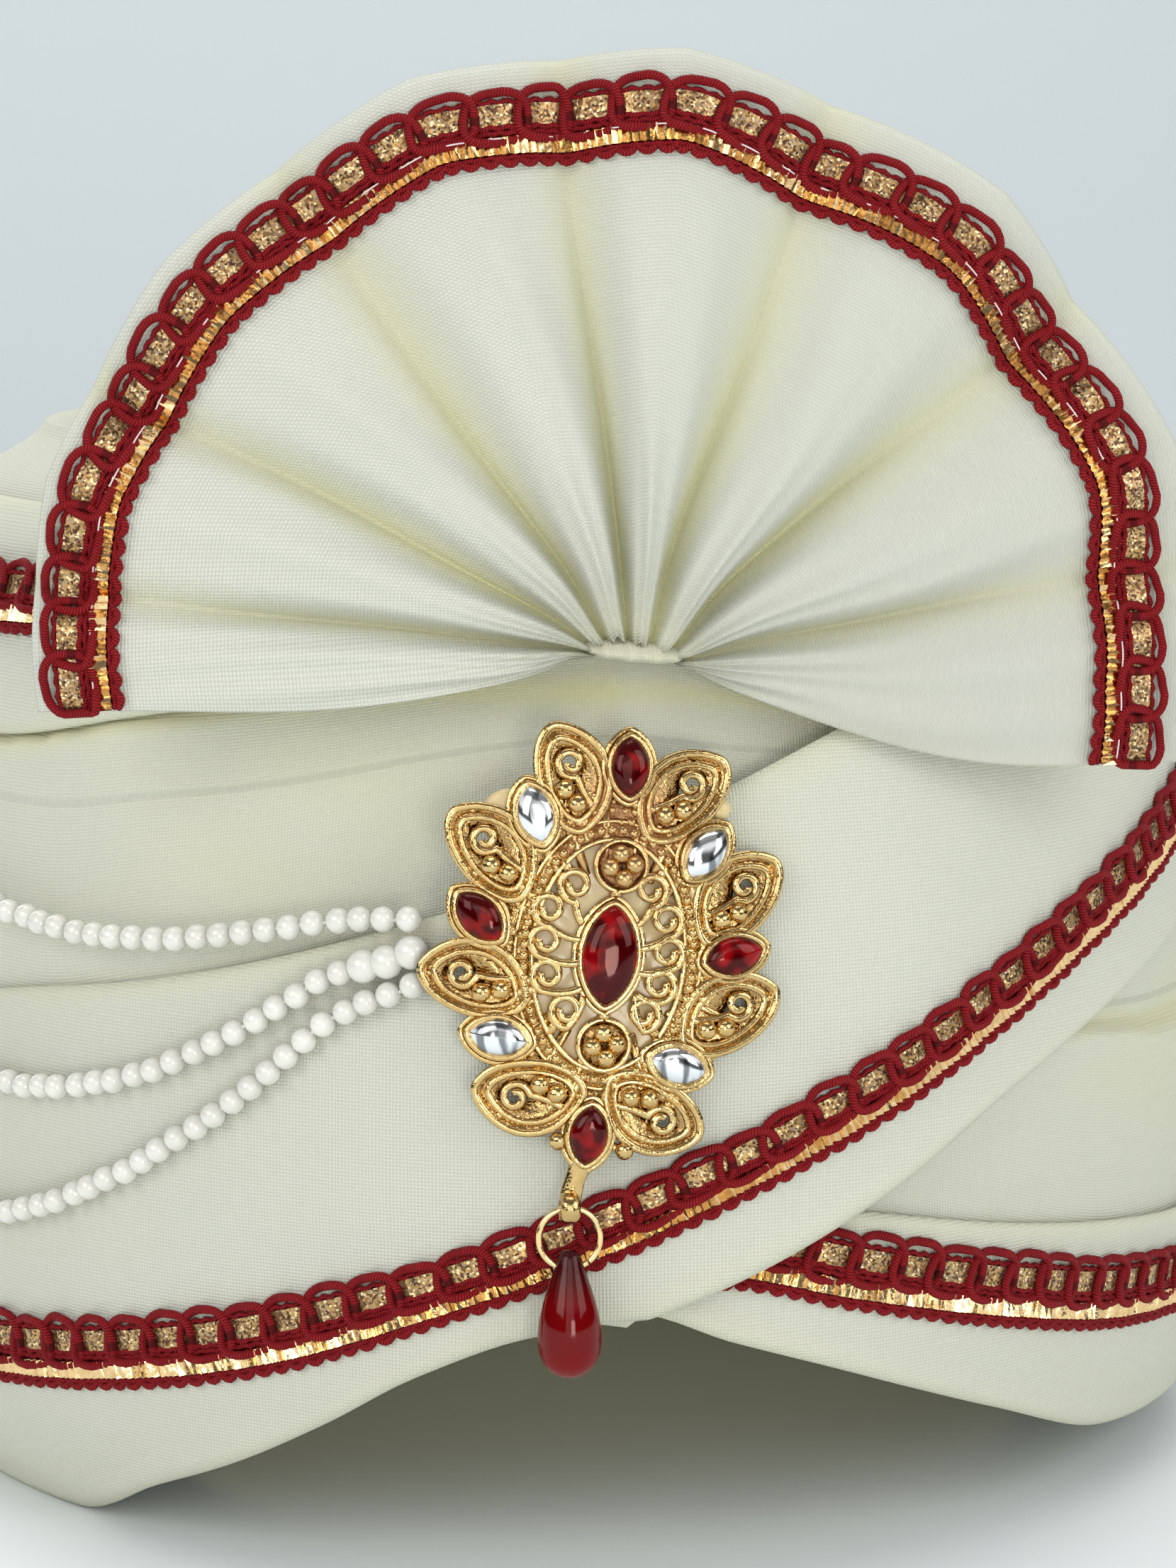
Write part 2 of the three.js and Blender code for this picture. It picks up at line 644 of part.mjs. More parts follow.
// Carries a point of the flat brooch (across, up, out) to its place on the turban.
function ontoTurban(point) {
  const turn = radians(broochTurn);
  const across = point.x * Math.cos(turn) - point.y * Math.sin(turn);
  const up = point.x * Math.sin(turn) + point.y * Math.cos(turn);
  const out = point.z - across ** 2 / (2 * bendAcross) - up ** 2 / (2 * bendUp);
  return new THREE.Vector3(
    broochSide + across,
    broochMiddle.y - broochSeat + up * Math.sin(broochTilt) - out * Math.cos(broochTilt),
    broochHeight + up * Math.cos(broochTilt) + out * Math.sin(broochTilt),
  );
}

function bendGeometry(geometry) {
  const position = geometry.attributes.position;
  const point = new THREE.Vector3();
  for (let i = 0; i < position.count; i += 1) {
    point.fromBufferAttribute(position, i);
    const placed = ontoTurban(point);
    position.setXYZ(i, placed.x, placed.y, placed.z);
  }
  return geometry;
}

// The tables give places on the brooch as seen in its turned state, so they are turned back.
function onBrooch(angle, reach) {
  const turn = radians(angle - broochTurn);
  return new THREE.Vector2(Math.cos(turn), Math.sin(turn)).multiplyScalar(reach * stoneRingReach);
}

const stoneSteps = 6;
// A pointed oval outline: two arcs that meet at its tips.
function pointedOval(length, width, steps) {
  return Array.from({ length: 2 * steps }, (unused, i) => {
    const share = i < steps ? i / steps : (i - steps) / steps;
    const side = i < steps ? 1 : -1;
    return new THREE.Vector2((length / 2) * (1 - 2 * share) * side, side * (width / 2) * Math.sin(Math.PI * share) ** 0.8);
  });
}

function oval(halfLength, halfWide, steps) {
  return Array.from({ length: steps }, (unused, i) => {
    const turn = (2 * Math.PI * i) / steps;
    return new THREE.Vector2(halfLength * Math.cos(turn), halfWide * Math.sin(turn));
  });
}

function placed(outline, middle, turnDegrees) {
  const turn = radians(turnDegrees);
  return outline.map((p) => p.clone().rotateAround(new THREE.Vector2(), turn).add(middle));
}

// A flat plate of an outline, from one height to another.
function plate(outline, from, to, holes = []) {
  const shape = new THREE.Shape(outline);
  holes.forEach((hole) => shape.holes.push(new THREE.Path(hole)));
  const geometry = new THREE.ExtrudeGeometry(shape, { depth: to - from, bevelEnabled: false, steps: 1 });
  geometry.translate(0, 0, from);
  return solidOf(geometry);
}

function ball(middle, radius) {
  const geometry = new THREE.IcosahedronGeometry(radius, 0);
  geometry.translate(middle.x, middle.y, broochPlate + radius * 0.35);
  return solidOf(geometry);
}

// A cast web from a leaf or a seat to the border of the middle oval.
function rootBar(from) {
  const inward = from.clone().normalize();
  const border = 1 / Math.hypot(inward.x / broochOvalHalfWidth, inward.y / broochOvalHalfHeight);
  const foot = inward.clone().multiplyScalar(border - ovalRimWidth);
  const side = new THREE.Vector2(-inward.y, inward.x).multiplyScalar(rootWidth / 2);
  const outline = [
    foot.clone().sub(side), from.clone().sub(side), from.clone().add(side), foot.clone().add(side),
  ];
  return plate(outline, 0, broochPlate);
}

// A pierced leaf: a double outline with a curl's gap near its tip and two balls at its root.
function leafParts(leaf) {
  const middle = onBrooch(leaf.angle, leaf.reach);
  const turn = leaf.turn - broochTurn;
  const axis = new THREE.Vector2(1, 0).rotateAround(new THREE.Vector2(), radians(turn));
  const side = new THREE.Vector2(-axis.y, axis.x).multiplyScalar(leaf.hand);
  const at = (along, across) => (
    middle.clone().addScaledVector(axis, along * leafLength).addScaledVector(side, across * leafWidth)
  );
  const curlGap = placed(oval(leafLength * 0.12, leafWidth * 0.13, 6), at(0.14, 0.02), turn);
  const rootGap = placed(oval(leafLength * 0.13, leafWidth * 0.12, 6), at(-0.15, -0.14), turn);
  const outline = placed(pointedOval(leafLength, leafWidth, 5), middle, turn);
  const solid = plate(outline, 0, broochPlate, [curlGap, rootGap]);
  const balls = [ball(at(-0.07, 0.17), ballSizes.leaf), ball(at(-0.26, 0.08), ballSizes.leaf)];
  return [solid, rootBar(at(-0.38, 0)), ...balls];
}

// A stone's seat: a block as high as its wall, and the pocket cut in it for the stone.
const seatTop = broochPlate + bezelFloor + bezelRise;
function seatBlock(middle, turn, length, width) {
  const wall = 2 * (bezelWall + closeGap);
  return plate(placed(pointedOval(length + 1.3 * wall, width + wall, stoneSteps), middle, turn), 0, seatTop);
}
function seatPocket(middle, turn, length, width) {
  const room = 2 * closeGap;
  const outline = placed(pointedOval(length + 1.3 * room, width + room, stoneSteps), middle, turn);
  return plate(outline, broochPlate + bezelFloor, seatTop + stoneRise);
}

// The tab below the lowest stone, with an eye across it for the jump ring.
const tabTop = onBrooch(262.8, 0.955).add(new THREE.Vector2(tabSide, 1 - stoneLength / 2));
const eyeMiddle = tabTop.clone().add(new THREE.Vector2(0, -tabLength));
const eyeOut = broochPlate + closeGap + eyeHole;

function tabParts() {
  const half = tabWidth / 2;
  const outline = [
    new THREE.Vector2(tabTop.x - half, tabTop.y + 2), new THREE.Vector2(tabTop.x - half, eyeMiddle.y),
    new THREE.Vector2(tabTop.x + half, eyeMiddle.y), new THREE.Vector2(tabTop.x + half, tabTop.y + 2),
  ];
  const eye = new THREE.CylinderGeometry(eyeHole + tabWall / 2, eyeHole + tabWall / 2, tabWidth, 12);
  eye.rotateZ(Math.PI / 2);
  eye.translate(tabTop.x, eyeMiddle.y, eyeOut);
  return [plate(outline, 0, tabWall + 0.2), solidOf(eye)];
}

function eyeCut() {
  const hole = new THREE.CylinderGeometry(eyeHole, eyeHole, 2 * tabWidth, 10);
  hole.rotateZ(Math.PI / 2);
  hole.translate(tabTop.x, eyeMiddle.y, eyeOut);
  return solidOf(hole);
}

// The pierced gold casting: oval, leaves, seats, ball clusters and the tab, cast as one.
function broochFrame() {
  const holes = [];
  const pockets = [];
  [-1, 1].forEach((hand) => scrollGaps.forEach((opening) => {
    const middle = new THREE.Vector2(
      hand * opening.side * broochOvalHalfWidth,
      opening.up * broochOvalHalfHeight,
    );
    holes.push(placed(oval(scrollGapLength / 2, scrollGapWidth / 2, 6), middle, hand * opening.turn + RIGHT_ANGLE));
  }));
  const ovalOutline = placed(oval(broochOvalHalfHeight, broochOvalHalfWidth, 24), new THREE.Vector2(), RIGHT_ANGLE);
  const rimInside = placed(
    oval(broochOvalHalfHeight - ovalRimWidth, broochOvalHalfWidth - ovalRimWidth, 24),
    new THREE.Vector2(),
    RIGHT_ANGLE,
  );
  const parts = [plate(ovalOutline, 0, broochPlate, holes), plate(ovalOutline, 0, broochPlate + 0.8, [rimInside])];
  leafRing.forEach((leaf) => parts.push(...leafParts(leaf)));
  stoneRing.forEach((stone) => {
    const middle = onBrooch(stone.angle, stone.reach);
    const size = [stone.turn - broochTurn, stoneLength, stoneWidth];
    parts.push(seatBlock(middle, ...size), rootBar(middle));
    pockets.push(seatPocket(middle, ...size));
  });
  const centreSize = [RIGHT_ANGLE, centreStoneLength, centreStoneWidth];
  parts.push(seatBlock(new THREE.Vector2(), ...centreSize));
  pockets.push(seatPocket(new THREE.Vector2(), ...centreSize));
  clusterHeights.forEach((height) => {
    for (let k = 0; k < 4; k += 1) {
      const around = onBrooch(k * RIGHT_ANGLE + broochTurn, (2.05 * ballSizes.cluster) / stoneRingReach);
      const middle = new THREE.Vector2(0, height * broochOvalHalfHeight).add(around);
      parts.push(ball(middle, ballSizes.cluster));
    }
  });
  parts.push(...tabParts());
  const cuts = [eyeCut(), ...pockets];
  const cast = wasm.Manifold.union(parts).subtract(wasm.Manifold.union(cuts)).simplify(castFineness);
  return meshOf('brooch_frame', bendGeometry(geometryOfSolid(cast)), castGold);
}

// A domed stone with a pointed oval outline, flat below, as cast plastic stones are.
function stoneSolid(length, width, rise) {
  const outline = pointedOval(length, width, stoneSteps);
  const levels = [{ share: 1, up: 0 }, { share: 0.96, up: 0.35 }, { share: 0.66, up: 0.8 }];
  const points = [];
  levels.forEach((level) => outline.forEach((p) => {
    points.push(new THREE.Vector3(p.x * level.share, p.y * level.share, level.up * rise));
  }));
  const count = outline.length;
  const peak = points.push(new THREE.Vector3(0, 0, rise)) - 1;
  const base = points.push(new THREE.Vector3(0, 0, 0)) - 1;
  const triangles = [];
  for (let i = 0; i < count; i += 1) {
    const next = (i + 1) % count;
    for (let level = 0; level + 1 < levels.length; level += 1) {
      const low = level * count;
      const high = low + count;
      triangles.push(low + i, high + next, high + i, low + i, low + next, high + next);
    }
    const last = (levels.length - 1) * count;
    triangles.push(last + i, last + next, peak, next, i, base);
  }
  return geometryOf(points, triangles);
}

function stone(name, middle, turn, length, width, look) {
  const geometry = stoneSolid(length, width, stoneRise);
  geometry.rotateZ(radians(turn));
  geometry.translate(middle.x, middle.y, broochPlate + bezelFloor + closeGap);
  return meshOf(name, bendGeometry(geometry), look);
}

// The pad of set glue that holds the brooch to the cloth.
function gluePad() {
  const halfSizes = { side: broochOvalHalfWidth * 1.1, up: broochOvalHalfHeight * 0.9 };
  const outline = placed(oval(halfSizes.up, halfSizes.side, 18), new THREE.Vector2(), RIGHT_ANGLE);
  const pad = geometryOfSolid(plate(outline, -closeGap - glueWall, -closeGap));
  return meshOf('glue_pad', bendGeometry(pad), amberGlue);
}

// The jump ring hangs in the tab's eye, and the drop hangs on the ring.
const eyePlace = ontoTurban(new THREE.Vector3(tabTop.x, eyeMiddle.y, eyeOut));
const ringMiddle = eyePlace.clone().add(new THREE.Vector3(0, 0, -ringRadius));

function jumpRing() {
  const ring = meshOf('jump_ring', new THREE.TorusGeometry(ringRadius, ringWire / 2, 6, 18), castGold);
  ring.rotation.x = Math.PI / 2;
  ring.position.copy(ringMiddle);
  return ring;
}

// The red drop: a teardrop drilled across near its tip.
function redDrop() {
  const half = dropDiameter / 2;
  const outline = [
    { out: 0, up: 0 }, { out: 0.5, up: 0.03 }, { out: 0.82, up: 0.11 }, { out: 0.98, up: 0.22 },
    { out: 1, up: 0.32 }, { out: 0.88, up: 0.52 }, { out: 0.64, up: 0.72 }, { out: 0.4, up: 0.88 },
    { out: 0.24, up: 0.98 }, { out: 0, up: 1 },
  ];
  const profile = outline.map((row) => new THREE.Vector2(row.out * half, row.up * dropLength));
  const lathe = new THREE.LatheGeometry(profile, 12);
  lathe.rotateX(Math.PI / 2);
  const hole = new THREE.CylinderGeometry(dropHole, dropHole, dropDiameter, 10);
  hole.rotateZ(Math.PI / 2);
  hole.translate(0, 0, dropLength - dropHoleDepth);
  const drop = solidOf(lathe).subtract(solidOf(hole));
  const mesh = meshOf('red_drop', geometryOfSolid(drop), rubyPlastic);
  mesh.position.set(ringMiddle.x, ringMiddle.y, ringMiddle.z - ringRadius - (dropLength - dropHoleDepth));
  return mesh;
}

// How far a pearl's middle stands off the roll: clear of the long cloth where it lies
// under the string, and of the roll's own folds elsewhere.
function pearlStand(angle, height) {
  const row = clothRow(angle + FULL_TURN);
  const onCloth = row.lift + clothBulge + clothWall;
  const top = row.heights[clothTopRow];
  const onFold = pleatDepth;
  const blend = THREE.MathUtils.smoothstep(height, top, top + stringFade);
  return onCloth + (onFold - onCloth) * blend + closeGap + pearlDiameter / 2;
}

// A string of pearls as a smooth tube of the pearls' own thickness.
function pearlString(string) {
  const route = string.route.map((point) => {
    const height = point.up * crownHeight;
    return onRoll(point.angle, height, pearlStand(point.angle, height));
  });
  const curve = new THREE.CatmullRomCurve3(route, false, 'centripetal');
  const section = new THREE.Shape(oval(pearlDiameter / 2, pearlDiameter / 2, stepsRoundString));
  const tube = new THREE.ExtrudeGeometry(section, { steps: stepsAlongString, extrudePath: curve, bevelEnabled: false });
  return meshOf(string.name, tube, pearlWhite);
}

const turban = new THREE.Group();
turban.add(crownCap(), woundRoll(), longCloth(), clothLace());
turban.add(fan(), fanLace(), fanKnot());
turban.add(gluePad(), broochFrame());
stoneRing.forEach((s) => {
  const look = s.colour === 'ruby' ? rubyPlastic : clearPlastic;
  turban.add(stone(`stone_${s.name}`, onBrooch(s.angle, s.reach), s.turn - broochTurn, stoneLength, stoneWidth, look));
});
turban.add(stone('stone_centre', new THREE.Vector2(), RIGHT_ANGLE, centreStoneLength, centreStoneWidth, rubyPlastic));
turban.add(jumpRing(), redDrop());
pearlStrings.forEach((string) => turban.add(pearlString(string)));

// The origin is the middle of the whole turban's box, at its foot.
turban.updateMatrixWorld(true);
const box = new THREE.Box3().setFromObject(turban);
turban.position.set(-(box.min.x + box.max.x) / 2, -(box.min.y + box.max.y) / 2, -box.min.z);

const root = new THREE.Group();
root.add(turban);
export default root;
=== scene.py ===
import bmesh
import bpy
import numpy as np
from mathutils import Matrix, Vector


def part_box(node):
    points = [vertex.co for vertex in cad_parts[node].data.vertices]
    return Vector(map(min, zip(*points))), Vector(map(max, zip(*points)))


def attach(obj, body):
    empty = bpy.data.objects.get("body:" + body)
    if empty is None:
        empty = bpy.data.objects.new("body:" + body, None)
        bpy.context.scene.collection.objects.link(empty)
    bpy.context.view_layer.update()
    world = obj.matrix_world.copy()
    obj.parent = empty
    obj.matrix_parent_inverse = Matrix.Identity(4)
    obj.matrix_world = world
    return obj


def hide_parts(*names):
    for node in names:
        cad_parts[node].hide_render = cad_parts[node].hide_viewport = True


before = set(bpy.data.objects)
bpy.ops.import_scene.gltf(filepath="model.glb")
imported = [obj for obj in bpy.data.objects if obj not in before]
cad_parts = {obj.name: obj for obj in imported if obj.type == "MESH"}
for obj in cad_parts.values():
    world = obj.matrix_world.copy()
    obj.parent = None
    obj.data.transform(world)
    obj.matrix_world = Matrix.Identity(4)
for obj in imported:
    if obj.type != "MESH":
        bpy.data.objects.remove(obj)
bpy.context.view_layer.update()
low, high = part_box("crown_cap")
AXIS_X = (low[0] + high[0]) / 2
AXIS_Y = (low[1] + high[1]) / 2
MM = 0.001

# Camera: a little to the viewer's left of the front, looking slightly down on the brooch
# from arm's length, with a long lens.
camera_data = bpy.data.cameras.new("camera")
camera_data.sensor_width = 36
camera_data.lens = 96.7
camera = bpy.data.objects.new("camera", camera_data)
bpy.context.collection.objects.link(camera)
camera_place = np.array([AXIS_X - 73.3 * MM, AXIS_Y - 717.3 * MM, 202.9 * MM])
camera_target = np.array([AXIS_X - 6 * MM, AXIS_Y - 127 * MM, 119.4 * MM])
camera.location = camera_place
camera.rotation_euler = Vector(camera_target - camera_place).to_track_quat("-Z", "Y").to_euler()
bpy.context.scene.camera = camera


# Cap lining: the cap of ivory cotton that the turban is wound on, seen only from below
# and through the arch at the forehead. It is one wall of stiffened cloth, open below.
def follow(rows, key, column, at):
    """A table's column at any key, on a smooth curve through its rows that never overshoots:
    a cubic between rows whose slope at each row is the harmonic mean of the slopes beside it."""
    x = np.array([row[key] for row in rows], float)
    y = np.array([row[column] for row in rows], float)
    at = np.clip(np.asarray(at, float), x[0], x[-1])
    slopes = np.diff(y) / np.diff(x)
    product = slopes[:-1] * slopes[1:]
    total = np.where(product > 0, slopes[:-1] + slopes[1:], 1)
    bends = np.concatenate([[0], np.where(product > 0, 2 * product / total, 0), [0]])
    i = np.clip(np.searchsorted(x, at, side="right") - 1, 0, len(x) - 2)
    span = x[i + 1] - x[i]
    t = (at - x[i]) / span
    start, end = bends[i] * span, bends[i + 1] * span
    rise = y[i + 1] - y[i]
    return y[i] + start * (t**3 - 2 * t**2 + t) + rise * (3 * t**2 - 2 * t**3) + end * (t**3 - t**2)


def grid_faces(rows, columns, closed_rows=False, closed_columns=False):
    """Corner numbers of the quads of a grid of points kept row by row: each point with the next ones
    along its row and its column, round again to the first where the grid is closed."""
    i = np.arange(rows if closed_rows else rows - 1)[:, None]
    j = np.arange(columns if closed_columns else columns - 1)[None, :]
    below, right = (i + 1) % rows, (j + 1) % columns
    corners = [i * columns + j, below * columns + j, below * columns + right, i * columns + right]
    return np.stack([np.broadcast_to(c, (i.size, j.size)) for c in corners], -1).reshape(-1, 4)


def make_piece(name, parts, look, uvs=None, folds=None, smooth=True):
    """A mesh object from parts of (points in metres, faces), with one uv and one fold value a point, its
    share of painted shade.
    Points that lie together are merged, which closes seams and poles."""
    points, loops, sizes, offset = [], [], [], 0
    for part_points, part_faces in parts:
        points.append(part_points.reshape(-1, 3))
        loops.append((part_faces + offset).reshape(-1))
        sizes.append(np.full(len(part_faces), part_faces.shape[1]))
        offset += len(points[-1])
    points, loops, sizes = np.concatenate(points), np.concatenate(loops), np.concatenate(sizes)
    mesh = bpy.data.meshes.new(name)
    mesh.vertices.add(len(points))
    mesh.vertices.foreach_set("co", points.astype(np.float32).ravel())
    mesh.loops.add(len(loops))
    mesh.loops.foreach_set("vertex_index", loops.astype(np.int32))
    mesh.polygons.add(len(sizes))
    starts = np.concatenate([[0], np.cumsum(sizes)[:-1]])
    mesh.polygons.foreach_set("loop_start", starts.astype(np.int32))
    mesh.polygons.foreach_set("loop_total", sizes.astype(np.int32))
    mesh.polygons.foreach_set("use_smooth", np.full(len(sizes), smooth))
    mesh.update(calc_edges=True)
    if uvs is not None:
        layer = mesh.uv_layers.new(name="UVMap")
        layer.data.foreach_set("uv", np.concatenate(uvs)[loops].astype(np.float32).ravel())
    if folds is not None:
        values = mesh.attributes.new("fold", "FLOAT", "POINT")
        values.data.foreach_set("value", np.concatenate(folds).astype(np.float32))
    welded = bmesh.new()
    welded.from_mesh(mesh)
    bmesh.ops.remove_doubles(welded, verts=welded.verts, dist=1e-7)
    welded.to_mesh(mesh)
    welded.free()
    mesh.validate()
    mesh.materials.append(look.material)
    obj = bpy.data.objects.new(name, mesh)
    bpy.context.collection.objects.link(obj)
    return obj


class Nodes:
    """The nodes of a material or of the world, and the patterns that are worked out with them."""

    def __init__(self, tree):
        """Keeps the tree's nodes and links."""
        self.nodes, self.links = tree.nodes, tree.links

    def split(self, where):
        """The three parts of a place."""
        node = self.nodes.new("ShaderNodeSeparateXYZ")
        self.links.new(where, node.inputs[0])
        return node.outputs

    def stretched(self, where, scale, rotation=(0, 0, 0)):
        """A place scaled and turned, for a pattern drawn out one way."""
        node = self.nodes.new("ShaderNodeMapping")
        node.inputs["Scale"].default_value = scale
        node.inputs["Rotation"].default_value = rotation
        self.links.new(where, node.inputs["Vector"])
        return node.outputs["Vector"]

    def put(self, value, socket):
        """A number, a colour or another node's result put into a socket."""
        if isinstance(value, (int, float)):
            socket.default_value = value
        elif isinstance(value, tuple):
            socket.default_value = (*value, 1)
        else:
            self.links.new(value, socket)

    def maths(self, operation, first, second=None, clamp=False):
        """A Math node of two numbers or sockets, and its result."""
        node = self.nodes.new("ShaderNodeMath")
        node.operation = operation
        node.use_clamp = clamp
        self.put(first, node.inputs[0])
        if second is not None:
            self.put(second, node.inputs[1])
        return node.outputs[0]

    def times(self, first, second, clamp=False):
        """The product of two numbers or sockets."""
        return self.maths("MULTIPLY", first, second, clamp)

    def plus(self, first, second, clamp=False):
        """The sum of two numbers or sockets."""
        return self.maths("ADD", first, second, clamp)

    def minus(self, first, second):
        """The difference of two numbers or sockets."""
        return self.maths("SUBTRACT", first, second)

    def mix(self, share, first, second):
        """Two colours mixed by a share, each a colour or a socket."""
        node = self.nodes.new("ShaderNodeMix")
        node.data_type = "RGBA"
        for value, socket in ((share, node.inputs[0]), (first, node.inputs[6]), (second, node.inputs[7])):
            self.put(value, socket)
        return node.outputs[2]

    def noise(self, where, scale, detail=3.0):
        """A noise texture's value at a place."""
        node = self.nodes.new("ShaderNodeTexNoise")
        node.inputs["Scale"].default_value = scale
        node.inputs["Detail"].default_value = detail
        self.links.new(where, node.inputs["Vector"])
        return node.outputs["Fac"]

    def ramp(self, value, stops):
        """A colour that runs through stops of (place, colour) as a value runs from 0 to 1."""
        node = self.nodes.new("ShaderNodeValToRGB")
        elements = node.color_ramp.elements
        for element, (place, colour) in zip(elements, (stops[0], stops[-1])):
            element.position = place
            element.color = (*colour, 1)
        for place, colour in stops[1:-1]:
            elements.new(place).color = (*colour, 1)
        self.put(value, node.inputs["Fac"])
        return node.outputs["Color"]


class Look(Nodes):
    """A material: plain values on its shader, then patterns led into it."""

    def __init__(self, name, colour, roughness, metallic=0.0, **values):
        """Sets the shader's colour, roughness and metal share, and any other socket by its name."""
        self.material = bpy.data.materials.new(name)
        self.material.use_nodes = True
        super().__init__(self.material.node_tree)
        self.shader = self.nodes["Principled BSDF"]
        values |= {"Base Color": (*colour, 1), "Roughness": roughness, "Metallic": metallic}
        for socket, value in values.items():
            self.shader.inputs[socket.replace("_", " ")].default_value = value

    def place(self):
        """Places in the object, in metres."""
        return self.nodes.new("ShaderNodeTexCoord").outputs["Object"]

    def cloth_place(self):
        """Places in the piece's own uv, in metres along the cloth or cord."""
        uv = self.nodes.new("ShaderNodeUVMap")
        uv.uv_map = "UVMap"
        return uv.outputs["UV"]

    def fold(self):
        """The fold attribute: how much painted shade each point gets, from 0 to 1, for lying deep in a fold,
        under a ridge or in a hollow.
        """
        fold = self.nodes.new("ShaderNodeAttribute")
        fold.attribute_name = "fold"
        return fold.outputs["Fac"]

    def colour(self, value):
        """Leads a colour into the shader."""
        self.put(value, self.shader.inputs["Base Color"])

    def bump(self, height, strength, distance):
        """Bump from a height in units of distance."""
        node = self.nodes.new("ShaderNodeBump")
        node.inputs["Strength"].default_value = strength
        node.inputs["Distance"].default_value = distance
        self.links.new(height, node.inputs["Height"])
        self.links.new(node.outputs["Normal"], self.shader.inputs["Normal"])


WEAVE_PITCH, WEAVE_RELIEF = 0.00052, 0.00013


def cotton(name, colour, fold_shade_colour):
    """Plain-woven cotton: threads as two crossed sets of ridges in the cloth's own uv, in metres,
    thicker and thinner by stretched noise, with painted shade in its folds: a darker, yellower colour
    led in by the fold attribute."""
    look = Look(name, colour, 0.82, Sheen_Weight=0.12, Sheen_Roughness=0.5, Specular_IOR_Level=0.25)
    on_cloth = look.cloth_place()
    ridges = [
        look.maths("ABSOLUTE", look.maths("SINE", look.times(way, np.pi / WEAVE_PITCH)))
        for way in look.split(on_cloth)[:2]]
    weave = look.times(*ridges)
    slub = look.noise(look.stretched(on_cloth, (60, 1400, 1)), 1.0, 2.0)
    cloudy = look.noise(look.place(), 28.0, 3.0)
    shade = tuple(0.76 * c for c in colour)
    thread = look.mix(weave, shade, colour)
    slubbed = look.mix(look.times(slub, 0.16), thread, shade)
    # Random cloudy patches take a little of the fold shade colour. Then the fold attribute paints shade,
    # darker and yellower, in creases and under ridges.
    clouded = look.mix(look.times(cloudy, 0.14), slubbed, fold_shade_colour)
    look.colour(look.mix(look.fold(), clouded, fold_shade_colour))
    look.bump(look.plus(weave, look.times(slub, 0.5)), 0.85, WEAVE_RELIEF)
    return look


IVORY = (0.665, 0.668, 0.598)
# Painted shade for the cotton's folds: darker and yellower than the ivory.
FOLD_SHADE = (0.64, 0.62, 0.36)
HEAD_HALF_WIDTH, HEAD_HALF_DEPTH = 81, 97
CAP_WALL, CAP_TOP, CAP_RIM_LIFT = 2.5, 159, 3
FOREHEAD_ARCH = 42
RIM_LINE = [
    dict(angle=a, rise=r) for a, r in (
        (0, 1.0), (7.5, 0.88), (15, 0.76), (22.5, 0.63), (30, 0.5), (45, 0.26), (60, 0.17), (80, 0.05),
        (100, 0), (300, 0), (311, 0.01), (322.5, 0.23), (330, 0.38), (337.5, 0.57), (345, 0.79),
        (352.5, 0.94), (360, 1.0))
]
CAP_WALL_TOP, CAP_WALL_SHARE = 0.78, 0.6


def rim_height(angle):
    """Height of the turban's foot at an angle, in mm: the table's rise times the forehead's arch."""
    return follow(RIM_LINE, "angle", "rise", np.mod(angle, 360)) * FOREHEAD_ARCH


def grid_area(points):
    """The area of a grid of points, in square metres: the sum of its cells' cross products."""
    a = points[1:, :-1] - points[:-1, :-1]
    b = points[:-1, 1:] - points[:-1, :-1]
    return float(np.linalg.norm(np.cross(a, b), axis=-1).sum())


def cap_surface(angle, share, inward):
    """A point of the cap, inward millimetres inside it: up its straight wall, then over its crown
    on a quarter turn, by share."""
    rim = (rim_height(angle) + CAP_RIM_LIFT) / CAP_TOP
    on_wall = share < CAP_WALL_SHARE
    wall = np.clip(share / CAP_WALL_SHARE, 0, 1)
    crown = np.clip((share - CAP_WALL_SHARE) / (1 - CAP_WALL_SHARE), 0, 1)
    over_crown = CAP_WALL_TOP + (1 - CAP_WALL_TOP) * np.sin(crown * np.pi / 2)
    up = np.where(on_wall, rim + (CAP_WALL_TOP - rim) * wall, over_crown)
    out = np.where(on_wall, 1.0, np.cos(crown * np.pi / 2) ** 0.75)
    turn = np.radians(angle)
    x = out * (HEAD_HALF_WIDTH + CAP_WALL - inward) * np.sin(turn)
    y = -out * (HEAD_HALF_DEPTH + CAP_WALL - inward) * np.cos(turn)
    z = up * CAP_TOP - inward * np.where(on_wall, 0, crown)
    return np.stack([AXIS_X + x * MM, AXIS_Y + y * MM, np.broadcast_to(z * MM, x.shape)], -1)


# The lining's second colour, a dark olive, is painted shade for its folds.
lining_cotton = cotton("lining_cotton", (0.66, 0.64, 0.5), (0.42, 0.4, 0.24))
from_back, shares = np.meshgrid(np.arange(180, 541, 2.0), np.linspace(0, 1, 44), indexing="ij")
angles = from_back % 360
outer = cap_surface(angles, shares, 0)
inner = cap_surface(angles, shares, CAP_WALL)
section = np.concatenate([outer, inner[:, ::-1]], 1)
CAP_GIRTH_RADIUS, CAP_RISE = 0.09, 0.2
cap_uv = np.stack([np.radians(from_back) * CAP_GIRTH_RADIUS, shares * CAP_RISE], -1)
cap_uv = np.concatenate([cap_uv, cap_uv[:, ::-1]], 1).reshape(-1, 2)
# Painted shade: the cap's inner face is mixed a quarter of the way to that dark olive, its outer face not at
# all.
cap_shade = np.concatenate([0 * shares, 0.25 + 0 * shares], 1).reshape(-1)
cap_lining = make_piece(
    "cap_lining", [(section, grid_faces(*section.shape[:2], closed_columns=True))],
    lining_cotton, [cap_uv], [cap_shade])
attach(cap_lining, "root")
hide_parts("crown_cap")
grid_area(outer)


